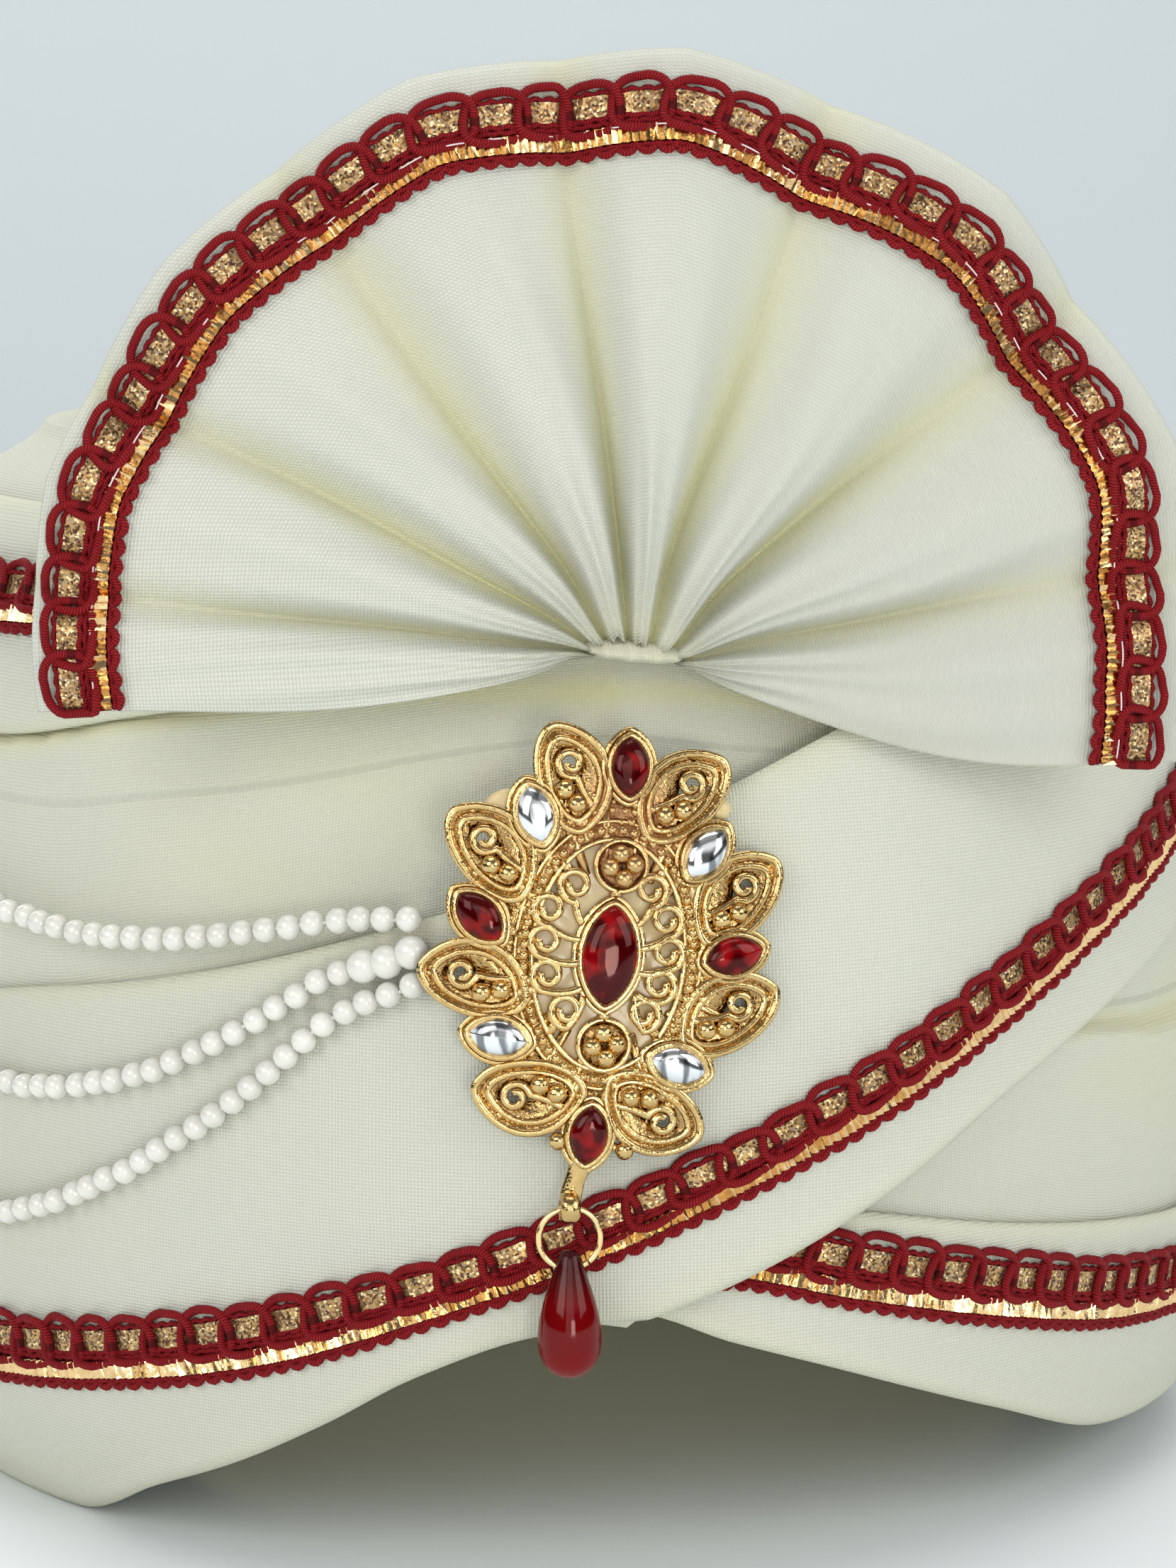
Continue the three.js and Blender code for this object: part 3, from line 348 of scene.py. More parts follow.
# Wound roll: many turns of the same cotton round the cap, seen as plain folded bands
# between the laced cloth and the fan, and as the shoulder and rim of the crown.
HALF_WIDTH, HALF_DEPTH, CROWN_HEIGHT, SHOULDER_INSET = 114, 127, 165, 30
ROLL_OUTLINE = [
    dict(up=u, inset=i) for u, i in (
        (0, 0.3), (0.04, 0.17), (0.12, 0.05), (0.25, 0), (0.42, 0), (0.57, 0.05), (0.7, 0.16), (0.8, 0.28),
        (0.89, 0.45), (0.95, 0.66), (1, 1))
]
LOWER_FOLD = [
    dict(angle=a, up=u, stand=s) for a, u, s in (
        (0, 0.475, 0), (25, 0.475, 0), (40, 0.46, 0.8), (52, 0.44, 1), (90, 0.425, 1), (180, 0.435, 1),
        (262, 0.46, 1), (288, 0.47, 0), (360, 0.475, 0))
]
UPPER_FOLD = [
    dict(angle=a, up=u, stand=s) for a, u, s in (
        (0, 0.79, 0), (45, 0.7, 0), (90, 0.625, 0), (112, 0.64, 1), (180, 0.67, 1), (270, 0.694, 1),
        (306, 0.722, 1), (321, 0.754, 0.8), (345, 0.79, 0), (360, 0.79, 0))
]
PLEAT_DEPTH, PLEAT_DROP = 3.0, 1.4
CLOTH_WALL, LACE_WIDTH, CLOTH_BULGE, LAYER_GAP, LAYER_AIR = 1.6, 11.5, 0.8, 0.4, 0.3
ROLL_UNDER_CLOTH, GIRTH_RADIUS = 0.35, 0.118
CLOTH_RUN = [
    dict(angle=a, foot=f, lace=l, top=t, lift=n) for a, f, l, t, n in (
        (-9, 0.252, 0.32, 0.375, 0), (7.5, 0.224, 0.309, 0.35, 0), (17, 0.186, 0.28, 0.333, 0),
        (30, 0.127, 0.241, 0.301, 0), (45, 0.066, 0.202, 0.27, 0), (60, 0.043, 0.18, 0.248, 0),
        (90, 0.005, 0.15, 0.24, 0), (135, 0, 0.133, 0.255, 0), (180, 0, 0.12, 0.28, 0),
        (225, 0, 0.12, 0.315, 0), (270, 0, 0.125, 0.39, 0), (290, 0, 0.14, 0.45, 0),
        (308, 0.001, 0.161, 0.5, 0), (322.5, 0.058, 0.191, 0.53, 0), (333, 0.12, 0.2225, 0.56, 0.2),
        (351, 0.231, 0.3035, 0.63, 2.15), (360, 0.252, 0.3495, 0.68, 2.2), (367.5, 0.285, 0.391, 0.72, 2.2),
        (378, 0.347, 0.452, 0.772, 2.2), (389, 0.425, 0.5215, 0.815, 1.8), (400, 0.484, 0.5855, 0.85, 1.6),
        (415, 0.543, 0.65, 0.885, 0.8), (432, 0.593, 0.698, 0.915, 0.2), (450, 0.634, 0.735, 0.93, 0),
        (472, 0.65, 0.755, 0.935, 0), (540, 0.68, 0.79, 0.94, 0), (630, 0.704, 0.835, 0.94, 0),
        (666, 0.732, 0.856, 0.94, 0), (681, 0.764, 0.862, 0.94, 0), (693, 0.785, 0.867, 0.94, 0))
]


def on_roll(angle, height, stand):
    """A point stand millimetres off the roll's smooth outside, at an angle and height round the head:
    an ellipse at each height, drawn in by the outline's inset."""
    inset = follow(ROLL_OUTLINE, "up", "inset", height / CROWN_HEIGHT) * SHOULDER_INSET
    turn = np.radians(angle)
    x = (HALF_WIDTH - inset + stand) * np.sin(turn)
    y = -(HALF_DEPTH - inset + stand) * np.cos(turn)
    return np.stack(np.broadcast_arrays(AXIS_X + x * MM, AXIS_Y + y * MM, height * MM), -1)


def cloth_at(angle):
    """Heights of the laced cloth's foot, lace middle and top, in mm, and its lift off the roll, all
    from the table of its run; on its first turn the foot follows the turban's own rim."""
    angle = np.asarray(angle, float)
    first = (angle >= 0) & (angle <= 360)
    foot = np.where(first, rim_height(angle), follow(CLOTH_RUN, "angle", "foot", angle) * CROWN_HEIGHT)
    lace = follow(CLOTH_RUN, "angle", "lace", angle) * CROWN_HEIGHT
    top = follow(CLOTH_RUN, "angle", "top", angle) * CROWN_HEIGHT
    lift = LAYER_GAP + follow(CLOTH_RUN, "angle", "lift", angle) * (CLOTH_WALL + LAYER_AIR)
    return foot, lace, top, lift


def ripples(angle, height, seed, waves, spread, climb):
    """Soft wrinkles from -1 to 1: a sum of sine waves with fixed random directions and places, each
    with a whole number of waves round the head."""
    draw = np.random.default_rng(seed)
    total = 0
    for _ in range(waves):
        across = np.round(draw.normal(0, spread))
        up = draw.normal(0, climb)
        total = total + np.sin(np.radians(angle) * across + height * up + draw.uniform(0, 2 * np.pi))
    return total / np.sqrt(waves) / 1.6


def ease(t):
    """A smooth step: 0 below 0, 1 above 1, and between them a cubic that is level at both ends."""
    t = np.clip(t, 0, 1)
    return t * t * (3 - 2 * t)


def roll_stand(angle, height):
    """How far the roll's own folds stand out, in mm: each band swells by a power of its height to its
    folded edge, then drops. Also how far up its lower band a point is, and both edges' heights."""
    below = cloth_at(angle)[2] + CLOTH_WALL
    lower, upper = [follow(fold, "angle", "up", angle) * CROWN_HEIGHT for fold in (LOWER_FOLD, UPPER_FOLD)]
    starts = np.minimum(below, lower - 2), np.maximum(lower + PLEAT_DROP, below)
    stand, bands = 0, []
    for fold, start, edge in zip((LOWER_FOLD, UPPER_FOLD), starts, (lower, upper)):
        bands.append(np.clip((height - start) / (edge - start), 0, 1))
        depth = follow(fold, "angle", "stand", angle) * PLEAT_DEPTH
        stand = stand + depth * bands[-1] ** 1.4 * (1 - ease((height - edge) / 1.1))
    return stand, bands[0], lower, upper


turban_cotton = cotton("turban_cotton", IVORY, FOLD_SHADE)
ROLL_AROUND, ROLL_UP, ROLL_CROWN = 433, 132, 15
BARE_SIDE, BARE_TOP = 110, 140
from_back = np.linspace(180, 540, ROLL_AROUND)[:, None]
angles = from_back % 360
rows = np.linspace(0, 1, ROLL_UP)[None, :]
foot = rim_height(angles)
heights = foot + (CROWN_HEIGHT - foot) * rows
stand, low_band, lower, upper = roll_stand(angles, heights)
bare = ease((heights - cloth_at(angles)[2] - 3) / 10) * (1 - ease((heights - BARE_TOP) / 20))
over = cloth_at(angles + 360)
bare = bare * np.where(angles < BARE_SIDE, ease((over[0] - 4 - heights) / 8), 1)
soft = ripples(angles, heights, 5, 9, 5.0, 0.09) * 0.6 + ripples(angles, heights, 8, 9, 14.0, 0.16) * 0.3
outside = on_roll(angles, heights, stand - ROLL_UNDER_CLOTH + bare * soft)
turns = np.radians(angles)
crown_rows = np.linspace(0, 1, ROLL_CROWN)[None, 1:]
CROWN_DIP, DISH_SHARE, DISH_GAP, INSIDE_TOP, CAP_GAP = 10.4, 0.78, 0.4, 0.88, 0.5
CROWN_GATHERS, GATHER_SWAY = 46, 5
over_x, over_y = [
    dish + (half - SHOULDER_INSET - ROLL_UNDER_CLOTH - dish) * (1 - crown_rows)
    for half, dish in (
        (HALF_WIDTH, DISH_SHARE * (HEAD_HALF_WIDTH + CAP_WALL) + DISH_GAP),
        (HALF_DEPTH, DISH_SHARE * (HEAD_HALF_DEPTH + CAP_WALL) + DISH_GAP))]
gathers = np.sin(CROWN_GATHERS * turns + GATHER_SWAY * np.sin(3 * turns)) * np.sin(np.pi * crown_rows) / 2
crown = np.stack(np.broadcast_arrays(
    AXIS_X + over_x * np.sin(turns) * MM, AXIS_Y - over_y * np.cos(turns) * MM,
    (CROWN_HEIGHT - CROWN_DIP * crown_rows**1.5 + gathers) * MM), -1)
inside = cap_surface(angles + 0 * crown_rows, INSIDE_TOP - INSIDE_TOP * crown_rows, -CAP_GAP)
section = np.concatenate([outside, crown, inside], 1)
girth = np.cumsum(np.linalg.norm(np.diff(section[0], axis=0, prepend=section[0][:1]), axis=1))
roll_uv = np.stack(np.broadcast_arrays(np.radians(from_back) * GIRTH_RADIUS, girth[None, :]), -1)
# Painted shade: darker and yellower just above each band's folded edge and in the troughs of the bare cloth's
# wrinkles, with a little everywhere. The crown and the inside get 0.2.
crease = 0.5 * np.exp(-(((heights - lower - 1.2) / 1.6) ** 2)) * (low_band > 0.9)
crease = crease + 0.6 * np.exp(-(((heights - upper - 1.2) / 1.8) ** 2))
crease = np.clip(crease + 0.3 * np.clip(-soft, 0, 1) * bare + 0.18, 0, 1)
roll_shade = np.concatenate([crease, np.full((ROLL_AROUND, section.shape[1] - ROLL_UP), 0.2)], 1).reshape(-1)
wound_cloth = make_piece(
    "wound_cloth", [(section, grid_faces(*section.shape[:2], closed_columns=True))],
    turban_cotton, [roll_uv.reshape(-1, 2)], [roll_shade])
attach(wound_cloth, "root")
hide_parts("wound_roll")


# Laced cloth: the long outer cloth, wound twice round the roll. It starts under its own
# crossing at the forehead and ends behind the fan; its edges are turned under and pressed.
CLOTH_START, CLOTH_END = -9, 693
PUCKER_RADIUS, PUCKER_PITCH = 115, 3.1


def cloth_place(angle, share, side):
    """A point of the laced cloth: share 0 at its foot and 1 at its top, side 1 outside and 0 inside.
    The wall thins as a square root to a rounded fold at both edges, swells as half a sine wave above
    the lace, and is puckered by its stitches."""
    foot, lace, top, lift = cloth_at(angle)
    height = foot + (top - foot) * share
    from_foot, from_top = height - foot, top - height
    edge = np.sqrt(np.clip(np.minimum(from_foot, from_top) / 1.1, 0.02, 1))
    above = np.clip((height - lace - LACE_WIDTH / 2) / np.maximum(top - lace - LACE_WIDTH / 2, 1), 0, 1)
    bulge = np.minimum(CLOTH_BULGE, (top - lace - LACE_WIDTH / 2) * 0.03) * np.sin(np.pi * above)
    pulls = ripples(angle, height, 21, 10, 4.0, 0.07) * 0.6 + ripples(angle, height, 4, 8, 16.0, 0.1) * 0.22
    free = ease(above * 4) * ease((top - height) / 4)
    hem = 0.35 * np.exp(-(((from_foot - 2.2) / 1.5) ** 2))
    stitches = np.sin(np.radians(angle) * PUCKER_RADIUS / PUCKER_PITCH * 2)
    pucker = 0.12 * stitches * np.exp(-(((height - lace) / 8) ** 2))
    middle = lift + CLOTH_WALL / 2 + bulge + free * np.clip(pulls, -0.5, 1) + hem + pucker
    stand = middle + (side - 0.5) * CLOTH_WALL * edge
    return on_roll(angle, height, stand), height, pulls * free


def end_caps(rows, columns):
    """Quads that close both ends of a flat tube whose section is a front and a back of equal length:
    each front point and the next, with the two back points behind them."""
    ring = np.arange(columns // 2 - 1)
    quad = np.stack([ring, ring + 1, columns - 2 - ring, columns - 1 - ring], -1)
    return [quad, (rows - 1) * columns + quad[:, ::-1]]


angles = np.arange(CLOTH_START, CLOTH_END + 0.1, 1.25)[:, None]
shares = np.linspace(0, 1, 52)[None, :]
shares = shares - 0.06 * np.sin(2 * np.pi * shares) / (2 * np.pi)
outer, heights, pulls = cloth_place(angles, shares, 1.0)
inner = cloth_place(angles, shares, 0.0)[0]
section = np.concatenate([outer, inner[:, ::-1]], 1)
faces = [grid_faces(*section.shape[:2], closed_columns=True)] + end_caps(*section.shape[:2])
length_along = np.radians(angles) * GIRTH_RADIUS + 0 * shares
cloth_uv = np.stack([length_along, heights * MM + 0 * length_along], -1)
cloth_uv = np.concatenate([cloth_uv, cloth_uv[:, ::-1]], 1).reshape(-1, 2)
foot, _, top, _ = cloth_at(angles)
# Painted shade: darker and yellower near the cloth's top and foot and in the troughs of its pulls, with a
# little everywhere. Its inner face gets half.
near_edge = 0.28 * np.exp(-(top - heights) / 3.5) + 0.22 * np.exp(-(heights - foot) / 5)
cloth_shade = np.clip(near_edge + 0.22 * np.clip(-pulls, 0, 1) + 0.06, 0, 1)
cloth_shade = np.concatenate([cloth_shade, np.full(cloth_shade.shape, 0.5)], 1).reshape(-1)
laced_cloth = make_piece(
    "laced_cloth", [(section, np.concatenate(faces))], turban_cotton, [cloth_uv], [cloth_shade])
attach(laced_cloth, "root")
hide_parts("long_cloth")
cloth_length = float(np.linalg.norm(np.diff(outer[:, 26], axis=0), axis=1).sum())
cloth_width = float(np.linalg.norm(np.diff(outer, axis=1), axis=2).sum(1).max())
grid_area(outer)


# Fan: one stiffened strip of the cotton, pleated and gathered to a point above the brooch.
# Its pleats are deep at the gather and open towards the rim, where the lace is sewn.
FAN_RADIUS, FAN_KNOT_HEIGHT, FAN_KNOT_SIDE = 85, 136.95, 1
FAN_WALL, FAN_PLEAT_DEPTH, FAN_LEAN, FAN_CURVE = 1.8, 4.2, 6, 8
FAN_LACE_MARGIN, FAN_GATHER, FAN_FOOT = 2.6, 5, 1.6
FAN_PLEATS = [
    dict(angle=a, reach=r, forward=f, droop=d, margin=m) for a, r, f, d, m in (
        (185, 1.0, 0.5, 0.03, 0.5), (179, 1.005, 0.9, 0.01, 0.45), (172.7, 1.005, -0.7, 0, 0.35),
        (162.8, 1.022, 1, 0, 0.58), (153, 1.004, -1, 0, 0.8), (139.5, 1.02, 1, 0, 1), (126, 1.0, -1, 0, 1.1),
        (111, 1.03, 1, 0, 1.25), (96.5, 1.0, -1, 0, 1.35), (84.5, 1.02, 1, 0, 1.35), (69, 0.985, -1, 0, 1.75),
        (50, 1.01, 1, 0, 1.8), (37.5, 0.975, -1, 0, 1.55), (19.5, 1.015, 1, 0, 1.8), (8, 1.0, -0.7, 0, 2.3),
        (-3, 1.0, 0.7, 0.02, 2.4), (-11.5, 1.01, 0.2, 0.06, 2.3))
]
FAN_FULLNESS = [dict(out=o, full=f) for o, f in ((0, 0.45), (0.12, 0.9), (0.45, 1), (0.75, 0.72), (1, 0.42))]
FAN_WIDTH, FAN_HALF_WALL, FAN_WOBBLE, FAN_SLACK = 84, FAN_WALL * 0.36, 0.9, 0.35
fan_seat = -float(on_roll(np.array(0.0), np.array(float(FAN_KNOT_HEIGHT)), np.array(1.0))[1] - AXIS_Y) / MM
FAN_BACK = fan_seat + FAN_PLEAT_DEPTH + FAN_WALL / 2


def fan_place(along, out_mm, stand):
    """A point of the fan: along counts the creases, out_mm is measured inwards from the rim. The cloth
    swings from rounded ridges forward to sharp creases behind by a power of the way between them, leans
    back as it rises, and curves round the roll by the square of its distance to the side."""
    i = np.clip(np.floor(along).astype(int), 0, len(FAN_PLEATS) - 2)
    t = along - i

    def between(key, t):
        """A column of the table of pleats, from one crease to the next by the share t."""
        column = np.array([row[key] for row in FAN_PLEATS], float)
        return column[i] + (column[i + 1] - column[i]) * t

    falls = between("forward", 0 * t) > between("forward", 0 * t + 1)
    forward = between("forward", np.where(falls, t**2.1, 1 - (1 - t) ** 2.1)) + 0 * out_mm
    angle, droop = between("angle", t), between("droop", t)
    reach = between("reach", t) * FAN_RADIUS
    radius = np.maximum(reach - out_mm, FAN_FOOT)
    out = np.clip((radius - FAN_GATHER) / (reach - FAN_GATHER), 0, 1)
    wobble = FAN_WOBBLE * np.sin(radius * 0.055 + along * 2.1) * np.sin(np.pi * out)
    turn = np.radians(angle + wobble)
    foot = np.exp(-((radius / 11) ** 2))
    side = (radius + 4.4 * foot) * np.cos(turn)
    up = radius * np.sin(turn) - droop * FAN_RADIUS * np.sin(np.pi * out) - 0.1 * side * foot
    small_folds = 0.16 * np.exp(-((out / 0.3) ** 2)) * np.cos(4 * np.pi * along)
    puffed = 1 + 0.3 * np.exp(-(((out - 0.15) / 0.2) ** 2))
    forward = forward * np.where(forward > 0, puffed, 1) + small_folds
    full = follow(FAN_FULLNESS, "out", "full", out) * FAN_PLEAT_DEPTH
    lean = np.maximum(up, 0) * np.tan(np.radians(FAN_LEAN))
    curve = FAN_CURVE * (side / FAN_RADIUS) ** 2
    slack = FAN_SLACK * np.sin(along * 9.1 + radius * 0.09) * np.sin(np.pi * out)
    y = -FAN_BACK + lean + curve - forward * full - stand - slack
    x = FAN_KNOT_SIDE + side
    z = FAN_KNOT_HEIGHT + up
    return np.stack(np.broadcast_arrays(AXIS_X + x * MM, AXIS_Y + y * MM, z * MM), -1), forward, out


creases = np.linspace(0, len(FAN_PLEATS) - 1, 353)[:, None]
share = np.linspace(0, 1, 70)[None, :]
out_mm = (1 - share**0.8) * FAN_WIDTH
thin = FAN_HALF_WALL * np.sqrt(np.clip(out_mm / 0.9, 0.03, 1))
front, forward, out = fan_place(creases, out_mm, thin)
back = fan_place(creases, out_mm, -thin)[0]
section = np.concatenate([front, back[:, ::-1]], 1)
faces = [grid_faces(*section.shape[:2], closed_columns=True)] + end_caps(*section.shape[:2])
MEASURED_ROW = 45
across = np.diff(front[:, MEASURED_ROW], axis=0, prepend=front[:1, MEASURED_ROW])
across = np.cumsum(np.linalg.norm(across, axis=1))[:, None]
fan_uv = np.stack(np.broadcast_arrays(across * (0.25 + 0.75 * out), -out_mm * MM), -1)
fan_uv = np.concatenate([fan_uv, fan_uv[:, ::-1]], 1).reshape(-1, 2)
# Painted shade: darker and yellower in the pleats' valleys, more so near the gather, and right at the gather.
# The back face gets 0.35.
deep = np.clip((0.5 - forward) / 1.4, 0, 1) ** 1.3 * (0.3 + 0.7 * np.exp(-((out / 0.65) ** 2)))
fan_shade = np.clip(deep + 0.25 * np.exp(-out / 0.07), 0, 1)
fan_shade = np.concatenate([fan_shade, np.full(fan_shade.shape, 0.35)], 1).reshape(-1)
pleated_fan = make_piece(
    "pleated_fan", [(section, np.concatenate(faces))], turban_cotton, [fan_uv], [fan_shade])
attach(pleated_fan, "root")
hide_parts("fan")
fan_length = float(across[-1, 0])
min(grid_area(front), FAN_WIDTH * MM * fan_length)


# Fan gather: the pinched foot of the pleats, a small bundle of cloth folded in on itself
# and sewn to the roll.
def ball_angles(levels, steps):
    """Angles down from the pole and round it, for rings of latitude on a ball."""
    return np.meshgrid(
        np.linspace(0, np.pi, levels), np.linspace(0, 2 * np.pi, steps, endpoint=False), indexing="ij")


polar, around = ball_angles(60, 60)
BUNCH_HALF_WIDTH, BUNCH_DEPTH, BUNCH_HEIGHT, PINCHES = 7.0, 4.4, 1.5, 11
pinch = 1 + 0.12 * np.cos(polar * PINCHES + 0.6) * np.sin(polar) ** 0.5
bunch_x = BUNCH_HALF_WIDTH * np.cos(polar)
bunch_y = BUNCH_DEPTH * np.sin(polar) ** 0.5 * np.cos(around) * pinch * (1 - 0.3 * np.sin(around))
bunch_z = BUNCH_HEIGHT * np.sin(polar) ** 0.6 * np.sin(around) * (0.8 + 0.2 * pinch)
bunch_z = bunch_z + 0.9 - 0.1 * bunch_x
gather_places = np.stack([
    AXIS_X + (FAN_KNOT_SIDE + bunch_x) * MM, AXIS_Y + (-FAN_BACK + 0.6 + bunch_y) * MM,
    (FAN_KNOT_HEIGHT + bunch_z) * MM], -1)
gather_uv = np.stack([polar * 0.006, around * 0.003], -1).reshape(-1, 2)
# The whole gather gets painted shade, 0.4 of the way to the fold shade colour.
fan_gather = make_piece(
    "fan_gather", [(gather_places, grid_faces(60, 60, closed_columns=True)[:, ::-1])], turban_cotton,
    [gather_uv], [np.full(gather_places.size // 3, 0.4)])
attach(fan_gather, "root")
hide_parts("fan_knot")


# Lace: bought by the metre and sewn on. Loops of dark red gimp cord cross each other like
# chain links over a gold glitter ribbon, above a crimped gold foil and a picot edge.
CORD_UV_RADIUS = 0.0005


def cords(paths, outward, radius, sides=6, closed=False, squash=1.0):
    """Round cords along many paths at once: each path point gets a ring of points square to the path,
    a cosine across it and a sine along the outward direction. Open cords end in a point. Paths are
    (count, steps, 3), and what comes back is one mesh part and its uv, in metres along the cord."""
    radius = np.array(np.broadcast_to(np.asarray(radius, float), paths.shape[:2]))
    outward = np.broadcast_to(outward, paths.shape)
    if closed:
        tangent = np.roll(paths, -1, 1) - np.roll(paths, 1, 1)
    else:
        first = paths[:, :1] + (paths[:, :1] - paths[:, 1:2]) * 0.02
        last = paths[:, -1:] + (paths[:, -1:] - paths[:, -2:-1]) * 0.02
        paths = np.concatenate([first, paths, last], 1)
        outward = np.concatenate([outward[:, :1], outward, outward[:, -1:]], 1)
        radius = np.concatenate([0 * radius[:, :1], radius, 0 * radius[:, -1:]], 1)
        tangent = np.gradient(paths, axis=1)
    tangent = tangent / np.linalg.norm(tangent, axis=-1, keepdims=True)
    side = np.cross(outward, tangent)
    side = side / np.linalg.norm(side, axis=-1, keepdims=True)
    up = np.cross(tangent, side)
    turn = np.linspace(0, 2 * np.pi, sides, endpoint=False)
    wide = radius[..., None, None]
    rings = paths[:, :, None] + wide * (
        side[:, :, None] * np.cos(turn)[:, None] + squash * up[:, :, None] * np.sin(turn)[:, None])
    count, steps = paths.shape[:2]
    one = grid_faces(steps, sides, closed_rows=closed, closed_columns=True)
    faces = (one[None] + (np.arange(count) * steps * sides)[:, None, None]).reshape(-1, 4)
    length = np.cumsum(np.linalg.norm(np.diff(paths, axis=1, prepend=paths[:, :1]), axis=-1), 1)
    uv = np.stack(np.broadcast_arrays(length[:, :, None], turn * CORD_UV_RADIUS), -1).reshape(-1, 2)
    return (rings.reshape(-1, 3), faces[:, ::-1]), uv


def lace_track(centre, outward, across):
    """Carries lace places (along, across, out), in mm, to the turban, by a frame kept along its
    middle line: the line's point, plus its side times across, plus its outward direction times out."""
    steps = np.linalg.norm(np.diff(centre, axis=0), axis=1)
    length = np.concatenate([[0], np.cumsum(steps)]) / MM

    def carry(along, wide, out):
        """Places on the turban, and the outward direction there."""
        middle, normal, side = [
            np.stack([np.interp(along, length, values[:, k]) for k in range(3)], -1)
            for values in (centre, outward, across)]
        return middle + side * wide[..., None] * MM + normal * out[..., None] * MM, normal
    return carry, length


def gimp(name, colour, pitch=0.00042):
    """Dark red cord wrapped crosswise with fine thread: ridges along the piece's own uv."""
    look = Look(name, colour, 0.7, Specular_IOR_Level=0.18, Sheen_Weight=0.06, Sheen_Tint=(0.9, 0.1, 0.1, 1))
    along, around, _ = look.split(look.cloth_place())
    slant = look.plus(along, look.times(around, 0.3))
    wrap = look.maths("ABSOLUTE", look.maths("SINE", look.times(slant, np.pi / pitch)))
    cloudy = look.noise(look.place(), 420.0, 2.0)
    dark = tuple(0.4 * c for c in colour)
    look.colour(look.mix(look.times(cloudy, 0.5), look.mix(wrap, dark, colour), dark))
    look.bump(wrap, 1.0, 0.00024)
    return look


red_gimp = gimp("red_gimp", (0.34, 0.008, 0.013))
red_ground = gimp("red_ground", (0.12, 0.002, 0.005), 0.0009)

glitter = Look("gold_glitter", (0.62, 0.42, 0.2), 0.34, 0.8)
flakes = glitter.nodes.new("ShaderNodeTexVoronoi")
flakes.inputs["Scale"].default_value = 2900
glitter.put(glitter.place(), flakes.inputs["Vector"])
separate = glitter.nodes.new("ShaderNodeSeparateColor")
glitter.put(flakes.outputs["Color"], separate.inputs[0])
glitter.colour(glitter.ramp(separate.outputs[0], (
    (0.05, (0.07, 0.03, 0.02)), (0.34, (0.26, 0.14, 0.06)), (0.64, (0.62, 0.38, 0.14)),
    (0.82, (0.3, 0.22, 0.16)), (0.95, (1.0, 0.78, 0.42)))))
glitter.bump(separate.outputs[1], 1.0, 0.00025)

foil = Look("gold_foil", (0.9, 0.58, 0.27), 0.16, 1.0)
creased = foil.noise(foil.place(), 900.0, 2.0)
foil.colour(foil.mix(creased, (0.55, 0.3, 0.1), (1.0, 0.76, 0.44)))
foil.bump(creased, 0.35, 0.0003)

white_thread = Look("white_thread", (0.7, 0.62, 0.62), 0.6)

LOOP_PITCH, LOOP_LENGTH, LOOP_HEIGHT, LOOP_MIDDLE, LOOP_STEPS = 7.3, 8.8, 7.4, 1.75, 26
LOOP_CORD, LOOP_OUT, LOOP_CROSSING, LOOP_POWER = 0.68, 1.05, 0.38, 0.72
CORD_STEP, FOIL_STEP, STITCH_PITCH, PICOT_PITCH, THREAD = 0.62, 1.25, 6.4, 3.0, 0.12
RIBBON_SIDES, FOIL_SIDES, GROUND_SIDES = (0.25, 3.4), (-4.0, -1.45), (-4.7, 3.5)
RUNNING_CORDS = [
    dict(side=s, sway=w, radius=r, beat=b) for s, w, r, b in (
        (3.8, 0.22, 0.4, 2.1), (0.0, 0.2, 0.5, 2.3), (-0.85, 0.15, 0.45, 2.0), (-4.45, 0.12, 0.42, 1.7))
]


